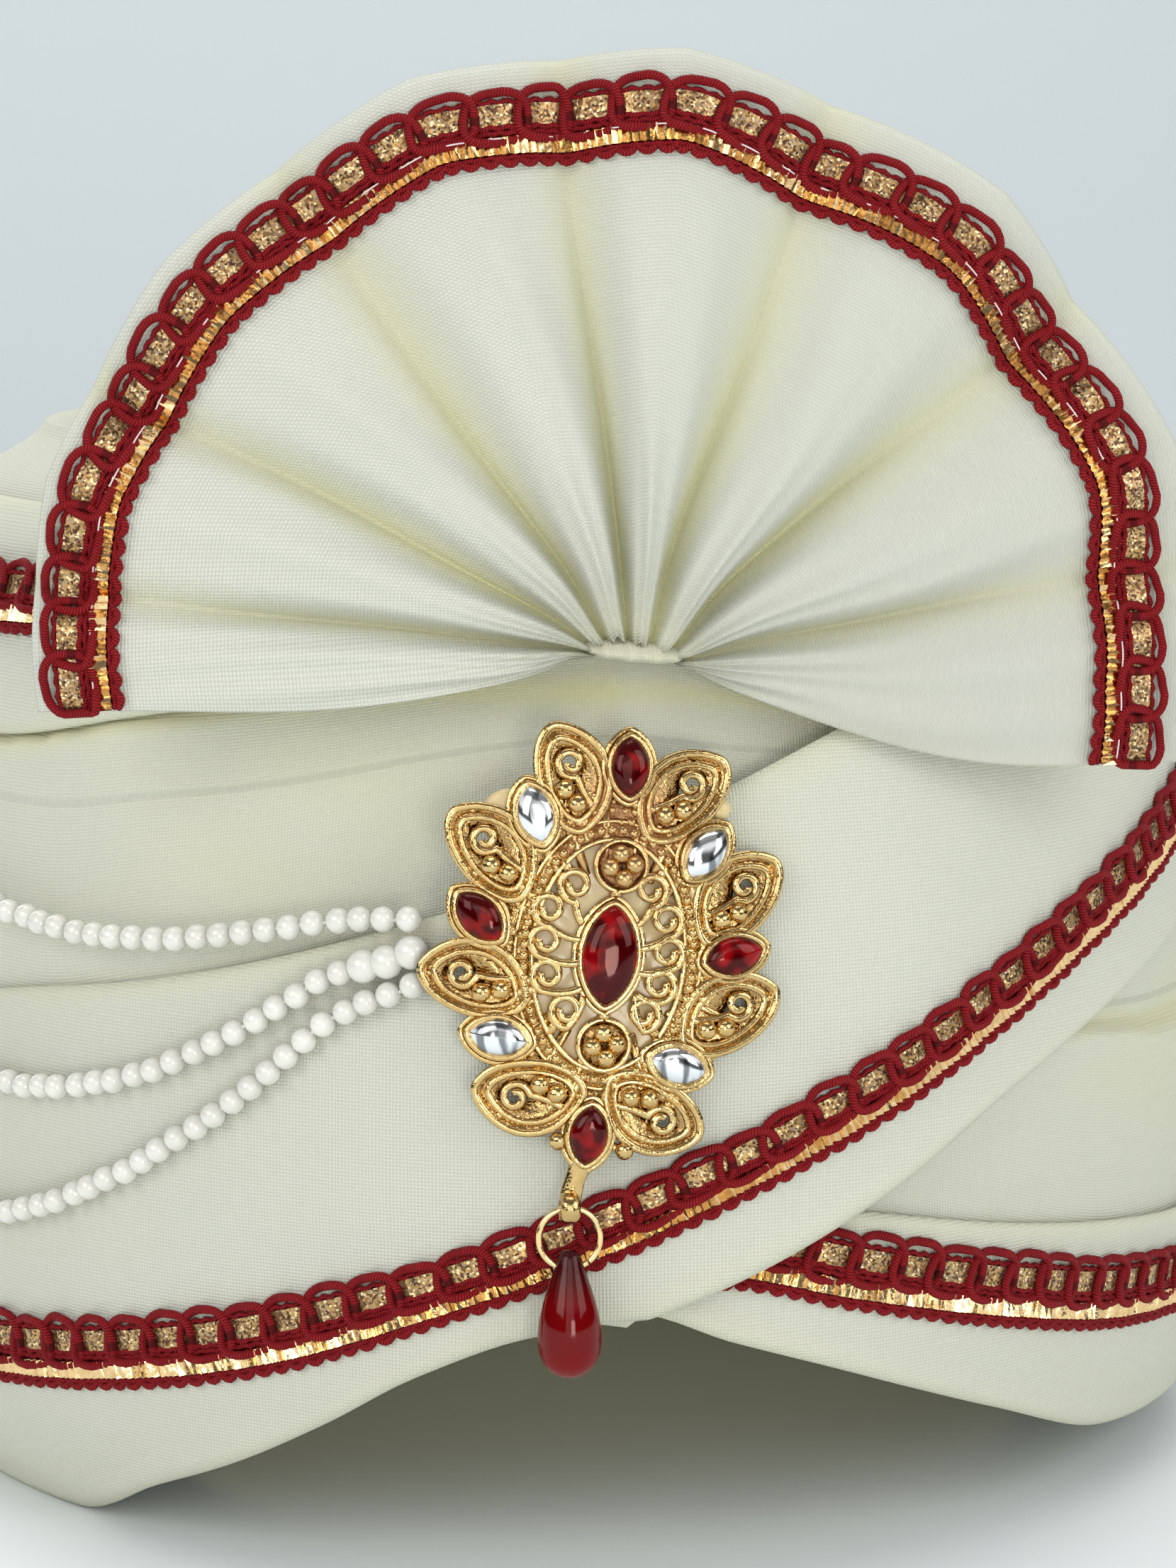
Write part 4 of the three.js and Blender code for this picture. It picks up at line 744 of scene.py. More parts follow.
def make_lace(name, centre, outward, across, phase, narrow, stitched):
    """One run of lace. Loops are rounded oblongs, a cosine and a sine to a power below one, whose ends
    cross their neighbours'; the ribbon dips under each crossing; the foil is a strip crimped at every
    step; the picots are half sine waves of cord. narrow gives the lace's width as a share at each place
    of its middle line, and stitched is how far the thread stands out."""
    carry, length_at = lace_track(centre, outward, across)
    total = length_at[-1]
    draw = np.random.default_rng(phase)

    def place(along, wide, out):
        """A lace place on the turban, its width narrowed where the lace is pulled tight."""
        return carry(along, wide * np.interp(along, length_at, narrow), out)

    count = int((total - 1) // LOOP_PITCH)
    pitch = (total - 0.6) / count
    middles = (np.arange(count) + 0.5)[:, None] * pitch + 0.3
    around = np.linspace(0, 2 * np.pi, LOOP_STEPS, endpoint=False)[None, :]
    ax, ay = [np.sign(wave) * np.abs(wave) ** LOOP_POWER for wave in (np.cos(around), np.sin(around))]
    length = LOOP_LENGTH * (1 + draw.normal(0, 0.04, (count, 1)))
    height = LOOP_HEIGHT * (1 + draw.normal(0, 0.035, (count, 1)))
    lean = 0.3 + draw.normal(0, 0.22, (count, 1))
    reach = length / 2 * (pitch / LOOP_PITCH)
    along = np.clip(middles + ax * reach * (1 - 0.1 * ay) + ay * lean, 0.2, total - 0.2)
    wide = LOOP_MIDDLE + ay * height / 2 + draw.normal(0, 0.15, (count, 1))
    over = np.where(ax > 0, LOOP_CROSSING, -LOOP_CROSSING) * np.sin(around)
    path, normal = place(along, wide, LOOP_OUT + over + draw.normal(0, 0.06, (count, 1)))
    made = [cords(path, normal, LOOP_CORD * MM, 6, closed=True)]
    s = np.linspace(0.2, total - 0.2, int(total / CORD_STEP))[None, :]
    for row in RUNNING_CORDS:
        side = row["side"] + row["sway"] * np.sin(s * 2 * np.pi / row["beat"])
        path, normal = place(s, side, 0.6 + 0.1 * np.cos(s * 2))
        made.append(cords(path, normal, row["radius"] * MM, 5))
    wave = np.abs(np.sin(np.pi * s / PICOT_PITCH))
    path, normal = place(s, -4.6 - 0.85 * wave, 0.5 + 0.15 * wave)
    made.append(cords(path, normal, (0.46 + 0.18 * wave) * MM, 6))
    parts, uvs = zip(*made)
    lace_cords = make_piece(name + "_cords", parts, red_gimp, uvs)

    def strip(s, sides, low_out, high_out, wall):
        """A thin closed strip along the lace between two sides, wall millimetres thick."""
        low, high = sides
        edges = [(low, low_out), (high, high_out), (high, high_out - wall), (low, low_out - wall)]
        points = np.stack([place(s, 0 * s + w, out + 0 * s)[0][0] for w, out in edges], 1)
        return points.reshape(-1, 3), grid_faces(s.shape[1], 4, closed_columns=True)[:, ::-1]

    dip = 0.5 + 0.5 * np.cos(2 * np.pi * (s - 0.3 - pitch / 2) / pitch)
    ribbon_out = 0.5 + 0.5 * dip**0.7
    ribbon = strip(s, RIBBON_SIDES, ribbon_out, ribbon_out, 0.2)
    lace_ribbon = make_piece(name + "_ribbon", [ribbon], glitter, smooth=False)
    crimps = np.linspace(0.3, total - 0.3, 2 * int(total / FOIL_STEP) + 1)
    crimps = (crimps + np.concatenate([[0], draw.uniform(-0.16, 0.16, crimps.size - 2), [0]]))[None, :]
    fold = np.where(np.arange(crimps.size) % 2 == 0, 1.35, 0.75)[None, :]
    tilt = draw.normal(0, 0.06, crimps.shape)
    foil_strip = strip(crimps, FOIL_SIDES, fold - tilt, fold + tilt, 0.1)
    lace_foil = make_piece(name + "_foil", [foil_strip], foil, smooth=False)
    ground = strip(s, GROUND_SIDES, 0.32, 0.32, 0.25)
    ground_uv = np.repeat(np.stack([s[0] * MM, 0 * s[0]], -1), 4, 0)
    lace_ground = make_piece(name + "_ground", [ground], red_ground, [ground_uv])
    stitches = int(total / STITCH_PITCH)
    mid = (np.arange(stitches) + 0.5)[:, None] * total / stitches
    run = np.linspace(-1.9, 1.9, 6)[None, :] * draw.uniform(0.5, 1.1, (stitches, 1))
    path, normal = place(mid + run, -1.75 + 0 * (mid + run), stitched + 0.25 * np.cos(run * 0.7) + 0 * mid)
    part, uv = cords(path, normal, THREAD * MM, 5)
    lace_stitch = make_piece(name + "_stitches", [part], white_thread, [uv])
    return [lace_cords, lace_ribbon, lace_foil, lace_ground, lace_stitch]


def frame_along(centre, outer, inner):
    """The lace's frame: its line, the direction out of the cloth, square to the line and to the
    lace, and the direction across the lace, with what lies along the line taken off."""
    ahead = np.gradient(centre, axis=0)
    ahead /= np.linalg.norm(ahead, axis=1, keepdims=True)
    side = outer - inner
    side -= ahead * (side * ahead).sum(1, keepdims=True)
    side /= np.linalg.norm(side, axis=1, keepdims=True)
    return centre, np.cross(ahead, side), side


angles = np.arange(CLOTH_START + 0.5, CLOTH_END - 0.5, 0.5)
foot, lace, top, _ = cloth_at(angles)
share_of = (lace - foot) / (top - foot)
lines = [cloth_place(angles, share_of + up / (top - foot), 1.0)[0] for up in (0, 3, -3)]
PULLED_TIGHT, TIGHT_FROM, TIGHT_TO = 0.14, 333, 425
narrow = 1 - PULLED_TIGHT * ease((angles - TIGHT_FROM) / 14) * (1 - ease((angles - TIGHT_TO) / 40))
CLOTH_STITCH_OUT, FAN_STITCH_OUT = 0.75, 1.35
cloth_lace = make_lace("cloth_lace", *frame_along(*lines), 3, narrow, CLOTH_STITCH_OUT)
for piece in cloth_lace:
    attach(piece, "root")
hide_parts("cloth_lace")


def smooth_line(line, width):
    """A line averaged along itself with the weights of a raised cosine, width points to each side.
    Its ends are mirrored through their last points first, so they stay."""
    kernel = np.hanning(width * 2 + 1)
    kernel /= kernel.sum()
    padded = np.concatenate([2 * line[:1] - line[width:0:-1], line, 2 * line[-1:] - line[-2:-width - 2:-1]])
    return np.stack([np.convolve(column, kernel, "valid") for column in padded.T], 1)


along = np.linspace(0.0, len(FAN_PLEATS) - 1.0, 500)
margins = [row["margin"] for row in FAN_PLEATS]
middle_mm = np.interp(along, np.arange(len(margins)), margins) * FAN_LACE_MARGIN + LACE_WIDTH / 2
lines = [
    smooth_line(fan_place(along, middle_mm + inwards, FAN_HALF_WALL + 0.4)[0], 6)
    for inwards in (0, -5, 5)]
fan_lace = make_lace("fan_lace", *frame_along(*lines), 7, 0.96 + 0 * along, FAN_STITCH_OUT)
for piece in fan_lace:
    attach(piece, "root")
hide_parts("fan_lace")


# Brooch: a pierced gold-plated casting with a ring of eight leaves and eight stone seats
# round an oval of scrolls, glued to the cloth and bent a little to follow it.
BROOCH_SIDE, BROOCH_HEIGHT = -4, 96
RING_REACH = 26.8


def roll_y(height):
    """The roll's smooth outside at the forehead, in mm behind the axis, so below zero."""
    return float(on_roll(np.array(0.0), np.array(float(height)), np.array(0.0))[1] - AXIS_Y) / MM


low_y, middle_y, high_y = [roll_y(BROOCH_HEIGHT + up) for up in (-RING_REACH, 0, RING_REACH)]
BROOCH_TILT = np.arctan2(high_y - low_y, 2 * RING_REACH)
GLUE_WALL, CLOSE_GAP = 1.1, 0.3
BROOCH_SEAT = float(cloth_at(360.0)[3]) + CLOTH_BULGE + CLOTH_WALL + GLUE_WALL + 4 * CLOSE_GAP
BEND_ACROSS = HALF_WIDTH**2 / HALF_DEPTH
BEND_UP = RING_REACH**2 / (2 * ((low_y + high_y) / 2 - middle_y))


def onto_turban(across, up, out):
    """A point of the flat brooch, in mm to the viewer's right, up and out, bent onto the turban: it
    falls back by the square of its distance over twice the bend's radius, then leans by the tilt."""
    out = out - across**2 / (2 * BEND_ACROSS) - up**2 / (2 * BEND_UP)
    x = BROOCH_SIDE + across
    y = middle_y - BROOCH_SEAT + up * np.sin(BROOCH_TILT) - out * np.cos(BROOCH_TILT)
    z = BROOCH_HEIGHT + up * np.cos(BROOCH_TILT) + out * np.sin(BROOCH_TILT)
    return np.stack(np.broadcast_arrays(AXIS_X + x * MM, AXIS_Y + y * MM, z * MM), -1)


# Gold casting: two golds that vary at random and a copper-coloured patch near the middle. Painted shade from
# the fold attribute darkens the gold towards brown in hollows, under wires and round the feet of balls.
casting = Look("gold_casting", (0.86, 0.6, 0.24), 0.2, 1.0)
where, hollow_shade = casting.place(), casting.fold()
COPPER_SIDE, COPPER_HEIGHT = AXIS_X - 0.002, 0.1115
x_way, _, z_way = casting.split(where)
side_way = casting.maths("ABSOLUTE", casting.minus(x_way, COPPER_SIDE))
up_way = casting.maths("ABSOLUTE", casting.minus(z_way, COPPER_HEIGHT))
far = casting.plus(casting.times(side_way, 110.0), casting.times(up_way, 75.0))
patch = casting.plus(casting.noise(where, 300.0, 3.0), 0.9)
copper = casting.times(casting.minus(patch, far), 1.4, clamp=True)
copper = casting.times(copper, casting.plus(hollow_shade, 0.45, clamp=True))
rough_cast = casting.noise(where, 520.0, 3.0)
plated = casting.mix(rough_cast, (0.77, 0.55, 0.25), (0.57, 0.37, 0.14))
# Painted shade: towards dark brown by the fold attribute.
hollows_shaded = casting.mix(casting.times(hollow_shade, 0.9), plated, (0.2, 0.095, 0.03))
casting.colour(casting.mix(casting.times(copper, 0.7), hollows_shaded, (0.36, 0.17, 0.09)))
casting.put(casting.plus(0.1, casting.times(copper, 0.32)), casting.shader.inputs["Roughness"])
grain = casting.plus(rough_cast, casting.times(casting.noise(where, 2100.0, 2.0), 0.3))
rough_share = casting.plus(casting.times(hollow_shade, 0.9), 0.22)
casting.bump(casting.times(grain, rough_share), 0.8, 0.0008)

STONES = [
    dict(node="stone_top", angle=82.6, reach=1.0, turn=87, ruby=True),
    dict(node="stone_upper_right", angle=45, reach=0.745, turn=50, ruby=False),
    dict(node="stone_right", angle=-1.4, reach=0.67, turn=12, ruby=True),
    dict(node="stone_lower_right", angle=-58.6, reach=0.69, turn=-18, ruby=False),
    dict(node="stone_bottom", angle=262.8, reach=0.955, turn=82, ruby=True),
    dict(node="stone_lower_left", angle=215.5, reach=0.725, turn=-11, ruby=False),
    dict(node="stone_left", angle=162.2, reach=0.715, turn=-49, ruby=True),
    dict(node="stone_upper_left", angle=116.7, reach=0.84, turn=-76, ruby=False),
]
LEAVES = [
    dict(angle=100.5, reach=0.96, turn=103, hand=1),
    dict(angle=64, reach=0.93, turn=42, hand=-1),
    dict(angle=22.5, reach=0.75, turn=47, hand=-1),
    dict(angle=-27, reach=0.715, turn=30, hand=-1),
    dict(angle=-75.5, reach=0.87, turn=-33, hand=1),
    dict(angle=239.8, reach=0.85, turn=178, hand=-1),
    dict(angle=189, reach=0.715, turn=160, hand=1),
    dict(angle=137, reach=0.825, turn=127, hand=1),
]
PLATE = 1.3
LEAF_LENGTH, LEAF_WIDTH, LEAF_BOW, LEAF_BALL = 15.8, 10.6, 1.1, 1.4
SEAT_LENGTH, SEAT_WIDTH, CENTRE_LENGTH, CENTRE_WIDTH, CENTRE_TURN = 8.3, 5.3, 14.2, 7.8, 83
SEAT_PLAY, STONE_RISE, CENTRE_RISE = 0.2, 1.75, 2.1
OVAL_TURN = -5
# Each metal part's share of painted shade a point, led in as the fold attribute.
metal_parts, metal_shade = [], []


def around_brooch(angle, reach):
    """A place on the flat brooch, at an angle and a share of the stone ring's reach."""
    turn = np.radians(angle)
    return np.array([np.cos(turn), np.sin(turn)]) * reach * RING_REACH


def pointed_oval(length, width, steps, power=1.38):
    """Two arcs that meet in points: a cosine along, and the sine to a power above one across."""
    turn = np.linspace(0, 2 * np.pi, steps, endpoint=False)
    across = np.sign(np.sin(turn)) * np.abs(np.sin(turn)) ** power
    return np.stack([length / 2 * np.cos(turn), width / 2 * across], -1)


def turned(outline, middle, degrees):
    """An outline turned by degrees and moved to its middle."""
    turn = np.radians(degrees)
    x, y = outline[..., 0], outline[..., 1]
    return np.stack([x * np.cos(turn) - y * np.sin(turn), x * np.sin(turn) + y * np.cos(turn)], -1) + middle


def wire(outline, out, radius, sides=8, closed=True, squash=1.0, underside_shade=0.85):
    """A cast wire along a line drawn on the flat brooch, at a height above its back, with painted shade
    underneath.
    """
    out = np.broadcast_to(np.asarray(out, float), outline.shape[:1])
    path = onto_turban(outline[:, 0], outline[:, 1], out)
    above = onto_turban(outline[:, 0], outline[:, 1], out + 1) - path
    part, _ = cords(path[None], above[None] / MM, np.asarray(radius) * MM, sides, closed, squash)
    metal_parts.append(part)
    turn = np.linspace(0, 2 * np.pi, sides, endpoint=False)
    metal_shade.append(np.tile(underside_shade * (0.5 - 0.5 * np.sin(turn)) ** 1.3, len(part[0]) // sides))


def band(outline, inner_outline, low_out, high_out, deep=0.7):
    """A flat ring of metal between two outlines with the same number of points, with full painted shade along
    its foot and the share deep along its top.
    """
    steps = len(outline)
    rings = [(outline, low_out), (outline, high_out), (inner_outline, high_out), (inner_outline, low_out)]
    points = np.stack([onto_turban(r[:, 0], r[:, 1], np.full(steps, float(h))) for r, h in rings], 1)
    metal_parts.append((points.reshape(-1, 3), grid_faces(steps, 4, closed_rows=True, closed_columns=True)))
    metal_shade.append(np.tile([1.0, deep, deep, 1.0], steps))


def granule(middle, out, radius):
    """A cast ball, drawn as rings of latitude, with painted shade where it meets the plate."""
    up, turn = ball_angles(10, 16)
    x = middle[0] + radius * np.sin(up) * np.cos(turn)
    y = middle[1] + radius * np.sin(up) * np.sin(turn)
    points = onto_turban(x, y, out + radius * np.cos(up))
    metal_parts.append((points.reshape(-1, 3), grid_faces(10, 16, closed_columns=True)))
    metal_shade.append(np.clip((up / np.pi - 0.3) * 1.7, 0, 1).reshape(-1))


def spiral(middle, start, reach, turns, steps=36, shrink=0.3):
    """A curl that winds in from its outside: its reach shrinks evenly as it turns."""
    share = np.linspace(0, 1, steps)
    turn = np.radians(start) + share * turns * 2 * np.pi
    radius = reach * (1 - (1 - shrink) * share)
    return np.stack([middle[0] + radius * np.cos(turn), middle[1] + radius * np.sin(turn)], -1)


def with_tail(root, curl, bow):
    """A curl's line led in from its root by a bowed stem, a quadratic curve with one control point."""
    middle = (root + curl[0]) / 2
    along = curl[0] - root
    bend = middle + bow * np.array([-along[1], along[0]])
    t = np.linspace(0, 1, 12)[:, None]
    stem = (1 - t) ** 2 * root + 2 * t * (1 - t) * bend + t**2 * curl[0]
    return np.concatenate([stem[:-1], curl])


def leaf(row):
    """One paisley leaf: a floor, a ridged outline bowed by a square, a second ridge inside its belly,
    a curl and two balls."""
    middle = around_brooch(row["angle"], row["reach"])
    turn, hand = row["turn"], row["hand"]
    shape = pointed_oval(LEAF_LENGTH, LEAF_WIDTH, 60, 1.25)
    shape[:, 1] += hand * LEAF_BOW * ((shape[:, 0] / (LEAF_LENGTH / 2)) ** 2 - 0.3)

    def drawn(length_share, width_share, slip=0.0):
        """The leaf's outline drawn in, and slipped along its axis, on the brooch."""
        return turned(shape * np.array([length_share, width_share]) + np.array([slip, 0.0]), middle, turn)

    band(drawn(1, 1), drawn(0.3, 0.2, 1.6), 0, PLATE * 0.6, 0.5)
    band(drawn(1, 1), drawn(0.86, 0.78), 0, PLATE * 0.9, 0.4)
    wire(drawn(0.975, 0.96), PLATE * 0.9, 0.6, sides=9)
    wire(drawn(0.76, 0.68, -0.2), PLATE * 0.85, 0.46, sides=8)
    axis = np.array([np.cos(np.radians(turn)), np.sin(np.radians(turn))])
    side = np.array([-axis[1], axis[0]]) * hand

    def at(along, wide):
        """A place in the leaf, as shares of its length and width from its middle."""
        return middle + axis * along * 14 + side * wide * 8.2

    curl = spiral(at(0.14, -0.03), turn + 190, 2.15, -1.3 * hand)
    wire(with_tail(at(-0.34, -0.2), curl, 0.1 * hand), PLATE * 0.95, 0.55, sides=8, closed=False)
    for spot in (at(-0.1, 0.19), at(-0.27, 0.04)):
        granule(spot, PLATE * 0.85 + 0.8, LEAF_BALL)
    inward = -middle / np.linalg.norm(middle)
    root = at(-0.42, 0)
    wire(np.linspace(root, root + inward * 3.6, 8), PLATE * 0.4, 0.9, closed=False)


for row in LEAVES:
    leaf(row)


def seat(middle, turn, length, width):
    """A stone's seat: a rough flange, a floor and a thin wall burnished over the stone's edge, all
    of them pointed ovals round the stone's own."""
    flange, floor, wall, hole, lip, rim = [
        turned(pointed_oval(long, wide, 56), middle, turn) for long, wide in (
            (length + 2.6, width + 2.3), (length * 0.3, width * 0.3), (length + 1.1, width + 0.9),
            (length - 0.1, width - 0.1), (length + 0.75, width + 0.55), (length + 2.3, width + 2.0))]
    band(flange, floor, 0, PLATE * 0.95, 0.55)
    band(wall, hole, 0, PLATE + 1.05, 0.2)
    wire(lip, PLATE + 0.95, 0.42)
    wire(rim, PLATE * 0.85, 0.45)


for row in STONES:
    seat(around_brooch(row["angle"], row["reach"]), row["turn"], SEAT_LENGTH, SEAT_WIDTH)
origin = np.zeros(2)
seat(origin, CENTRE_TURN, CENTRE_LENGTH, CENTRE_WIDTH)

# The oval's border with its row of granules, and the webs that tie the leaves to it
turn = np.linspace(0, 2 * np.pi, 96, endpoint=False)
ellipse = np.stack([np.cos(turn), np.sin(turn)], -1)
wavy = 1 + 0.035 * np.sin(8 * turn)[:, None] + 0.02 * np.sin(19 * turn)[:, None]
outer_edge, outer_ridge, web_edge, border, inner_ridge = [
    turned(oval, origin, OVAL_TURN) for oval in (
        ellipse * [15.6, 22.9] * wavy, ellipse * [13.3, 19.0], ellipse * [13.0, 18.7],
        ellipse * [12.15, 17.75], ellipse * [10.9, 16.4])]
band(outer_ridge, inner_ridge, 0, PLATE * 0.7, 0.55)
band(outer_edge, web_edge, 0, PLATE * 0.55, 0.6)
wire(outer_ridge, PLATE * 0.7, 0.26)
wire(inner_ridge, PLATE * 0.75, 0.38)
run = np.concatenate([[0], np.cumsum(np.linalg.norm(np.diff(border, axis=0, append=border[:1]), axis=1))])
for step in (np.arange(60) + 0.5) * run[-1] / 60:
    spot = np.array([np.interp(step, run, np.append(border[:, k], border[0, k])) for k in (0, 1)])
    granule(spot, PLATE * 0.75 + 0.3, 0.66)
    if int(step * 7) % 5 < 3:
        granule(spot * 1.16, PLATE * 0.55 + 0.15, 0.5)
SCROLL_INSET, SCROLL_REACH, SCROLL_START, SCROLL_TURNS = 0.97, 2.5, 270, 1.3
SCROLLS = [
    (-4.7, 10.4), (-8.6, 7.0), (-9.2, 2.4), (-9.0, -2.6), (-6.3, -7.9),
    (6.4, 9.4), (8.6, 4.9), (8.7, 0.2), (7.4, -4.5), (5.0, -8.7),
]
for x, y in SCROLLS:
    hand = 1 if x > 0 else -1
    middle = np.array([x, y]) * SCROLL_INSET
    root = np.array([3.7 * hand, np.clip(y * 0.7 - 2.6, -5.6, 4.5)])
    curl = spiral(middle, SCROLL_START, SCROLL_REACH, SCROLL_TURNS * hand, shrink=0.36)
    wire(with_tail(root, curl, -0.18 * hand), PLATE * 0.95, 0.56, sides=9, closed=False)
    outward = middle / np.linalg.norm(middle)
    wire(np.stack([middle + outward * 1.5, middle + outward * 4.2]), PLATE * 0.5, 0.75, closed=False)
CLUSTERS, CLUSTER_RING, CLUSTER_REACH, CLUSTER_BALL = ((2.0, 12.6), (-0.9, -12.7)), 3.6, 1.75, 1.36
for middle in np.array(CLUSTERS):
    ring = ellipse[::4] * CLUSTER_RING + middle
    band(ring, ellipse[::4] * 0.2 + middle, 0, PLATE * 0.8, 0.7)
    wire(ring, PLATE * 0.9, 0.45)
    for k in range(4):
        offset = CLUSTER_REACH * np.array([np.cos(np.pi / 2 * k + 0.1), np.sin(np.pi / 2 * k + 0.1)])
        granule(middle + offset, PLATE + 1.1, CLUSTER_BALL)
for stem in (((0.9, 8.1), (1.5, 9.4)), ((-0.7, -7.6), (-0.8, -9.4))):
    wire(np.array(stem), PLATE * 0.6, 0.9, closed=False)
FOOT_BALLS, FOOT_BALL = ((-7.4, -26.3), (2.0, -27.9)), 1.35
for x, y in FOOT_BALLS:
    granule(np.array([x, y]), PLATE * 0.8, FOOT_BALL)
    wire(np.array([[x, y], [x * 0.3 - 1.2, y + 1.0]]), PLATE * 0.4, 0.6, closed=False)
for angle in np.arange(0, 360, 15):
    web_end = 0.64 if abs(np.sin(np.radians(angle))) < 0.5 else 0.8
    ends = [around_brooch(angle, reach) for reach in (0.44, web_end)]
    wire(np.stack(ends), PLATE * 0.35, 0.7, closed=False)

# Cast crumbs left round the outside of the leaves
draw = np.random.default_rng(12)
for row in LEAVES + STONES:
    middle = around_brooch(row["angle"], row["reach"])
    for _ in range(5):
        oval = pointed_oval(14, 8, 40) if "hand" in row else pointed_oval(10, 6.4, 40)
        spot = turned(oval, middle, row["turn"])
        granule(spot[draw.integers(0, 40)], PLATE * 0.5, draw.uniform(0.35, 0.7))
for _ in range(46):
    level = draw.choice([-1, 1])
    spot = np.array([draw.uniform(-7, 8), level * draw.uniform(17.5, 23)]) - [1.2 * level, 0]
    granule(spot, PLATE * 0.6, draw.uniform(0.4, 0.75))

# The rough peg below the lowest stone, bent into the eye that holds the jump ring
ring_middle = np.mean(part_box("jump_ring"), axis=0)
EYE_HOLE, EYE_REACH, EYE_WIRE, EYE_STEPS = 1.25, 1.75, 0.85, 24
TAB_LENGTH, TAB_SIDE, TAB_TURN = 7.5, -1.5, 7
lowest = next(row for row in STONES if row["node"] == "stone_bottom")
eye_across = (ring_middle[0] - AXIS_X) / MM - BROOCH_SIDE
tab_top = around_brooch(lowest["angle"], lowest["reach"]) + np.array([TAB_SIDE * 0.6, -3.1])
tab_foot = np.array([eye_across, tab_top[1] - TAB_LENGTH * np.cos(np.radians(TAB_TURN))])
t = np.linspace(0, 1, 18)[:, None]
wander = np.array([0.5, 1.6]) * (1 - t) + np.sin(t * 7) * np.array([0.14, 0])
peg = tab_top + (tab_foot - tab_top) * t + wander
peg_radius = np.interp(t[:, 0], [0, 0.2, 0.5, 0.85, 1], [2.5, 1.8, 1.45, 1.6, 1.25])
wire(peg, 1.0, peg_radius, sides=14, closed=False, squash=0.55, underside_shade=0.5)
eye_turn = np.linspace(-0.25 * np.pi, 1.35 * np.pi, EYE_STEPS)
hook_up = tab_foot[1] + EYE_REACH * np.sin(eye_turn)
hook_out = PLATE + CLOSE_GAP + EYE_HOLE + EYE_REACH * np.cos(eye_turn)
hook = onto_turban(np.full(EYE_STEPS, tab_foot[0]), hook_up, hook_out)
sideways = np.tile([1.0, 0.0, 0.0], (1, EYE_STEPS, 1))
part, _ = cords(hook[None], sideways, EYE_WIRE * MM, 10, squash=1.7)
metal_parts.append(part)
# The eye gets a little painted shade all over.
metal_shade.append(np.full(len(part[0]), 0.15))
brooch = make_piece("brooch", metal_parts, casting, folds=metal_shade)
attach(brooch, "root")
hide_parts("brooch_frame")


# Stones: moulded plastic marquises with foiled backs, dark red or clear, pressed into
# the brooch's seats and held by their rolled walls.
ruby = Look("ruby_plastic", (0.12, 0.001, 0.003), 0.05, Specular_IOR_Level=0.35,
            Specular_Tint=(1.0, 0.55, 0.5, 1), IOR=1.55)
inside_light = ruby.noise(ruby.place(), 260.0, 2.0)
glow = ruby.times(ruby.minus(inside_light, 0.5), 5.0, clamp=True)
ruby.colour(ruby.mix(glow, (0.04, 0.0003, 0.001), (0.3, 0.002, 0.004)))

mirror_clear = Look("clear_plastic", (0.78, 0.8, 0.82), 0.1, 0.95, Coat_Weight=1.0, Coat_Roughness=0.02)
streaks = mirror_clear.stretched(mirror_clear.place(), (520, 300, 120), (0, 0.5, 0))
ripple = mirror_clear.noise(streaks, 1.0, 1.0)
dark = mirror_clear.times(mirror_clear.minus(ripple, 0.52), 9.0, clamp=True)
mirror_clear.colour(mirror_clear.mix(dark, (0.84, 0.86, 0.88), (0.2, 0.21, 0.22)))
mirror_clear.bump(ripple, 0.25, 0.0006)


def cabochon(node, middle, turn, length, width, rise, look, slot):
    """A domed marquise, flat below: its outline shrinks by a power of a cosine as it rises by a power
    of a sine."""
    levels = np.linspace(0, 1, 12)
    shrink = np.concatenate([[1.0], np.cos(levels[1:] * np.pi / 2) ** 0.62])
    lift = np.sin(levels * np.pi / 2) ** 1.1
    outline = pointed_oval(length, width, 48)
    ring = turned(outline[None] * shrink[:, None, None], middle, turn)
    top = onto_turban(ring[..., 0], ring[..., 1], PLATE + 0.8 + lift[:, None] * rise)
    base = turned(outline[None] * np.array([0.97, 0.4, 0.0])[:, None, None], middle, turn)
    under = onto_turban(base[..., 0], base[..., 1], np.full((3, 48), PLATE + 0.78))
    points = np.concatenate([under[::-1], top])
    piece = make_piece("gem_" + node, [(points, grid_faces(15, 48, closed_columns=True)[:, ::-1])], look)
    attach(piece, "root")
    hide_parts(node)


for row in STONES:
    look, slot = (ruby, "ruby_stone") if row["ruby"] else (mirror_clear, "clear_stone")
    cabochon(row["node"], around_brooch(row["angle"], row["reach"]), row["turn"],
             SEAT_LENGTH + SEAT_PLAY, SEAT_WIDTH + SEAT_PLAY, STONE_RISE, look, slot)
cabochon("stone_centre", origin, CENTRE_TURN, CENTRE_LENGTH + SEAT_PLAY, CENTRE_WIDTH + SEAT_PLAY,
         CENTRE_RISE, ruby, "ruby_stone")


# Glue: amber hot glue under the brooch, a thin pad pushed out in blobs through its
# openings and past its edge.
glue = Look("set_glue", (0.7, 0.52, 0.3), 0.28, Subsurface_Weight=0.35,
            Subsurface_Radius=(0.004, 0.003, 0.0015), Coat_Weight=0.3)
glue.colour(glue.mix(glue.noise(glue.place(), 180.0, 2.0), (0.7, 0.62, 0.32), (0.6, 0.36, 0.17)))
GLUE_ACROSS, GLUE_UP = 15.2, 18.2
radial, turn = np.meshgrid(
    np.linspace(0, 1, 22), np.linspace(0, 2 * np.pi, 80, endpoint=False), indexing="ij")
edge = 1 + 0.05 * np.sin(3 * turn + 1) + 0.04 * np.sin(7 * turn) + 0.03 * np.sin(12 * turn + 2)
x = radial * GLUE_ACROSS * edge * np.cos(turn)
y = radial * GLUE_UP * edge * np.sin(turn)
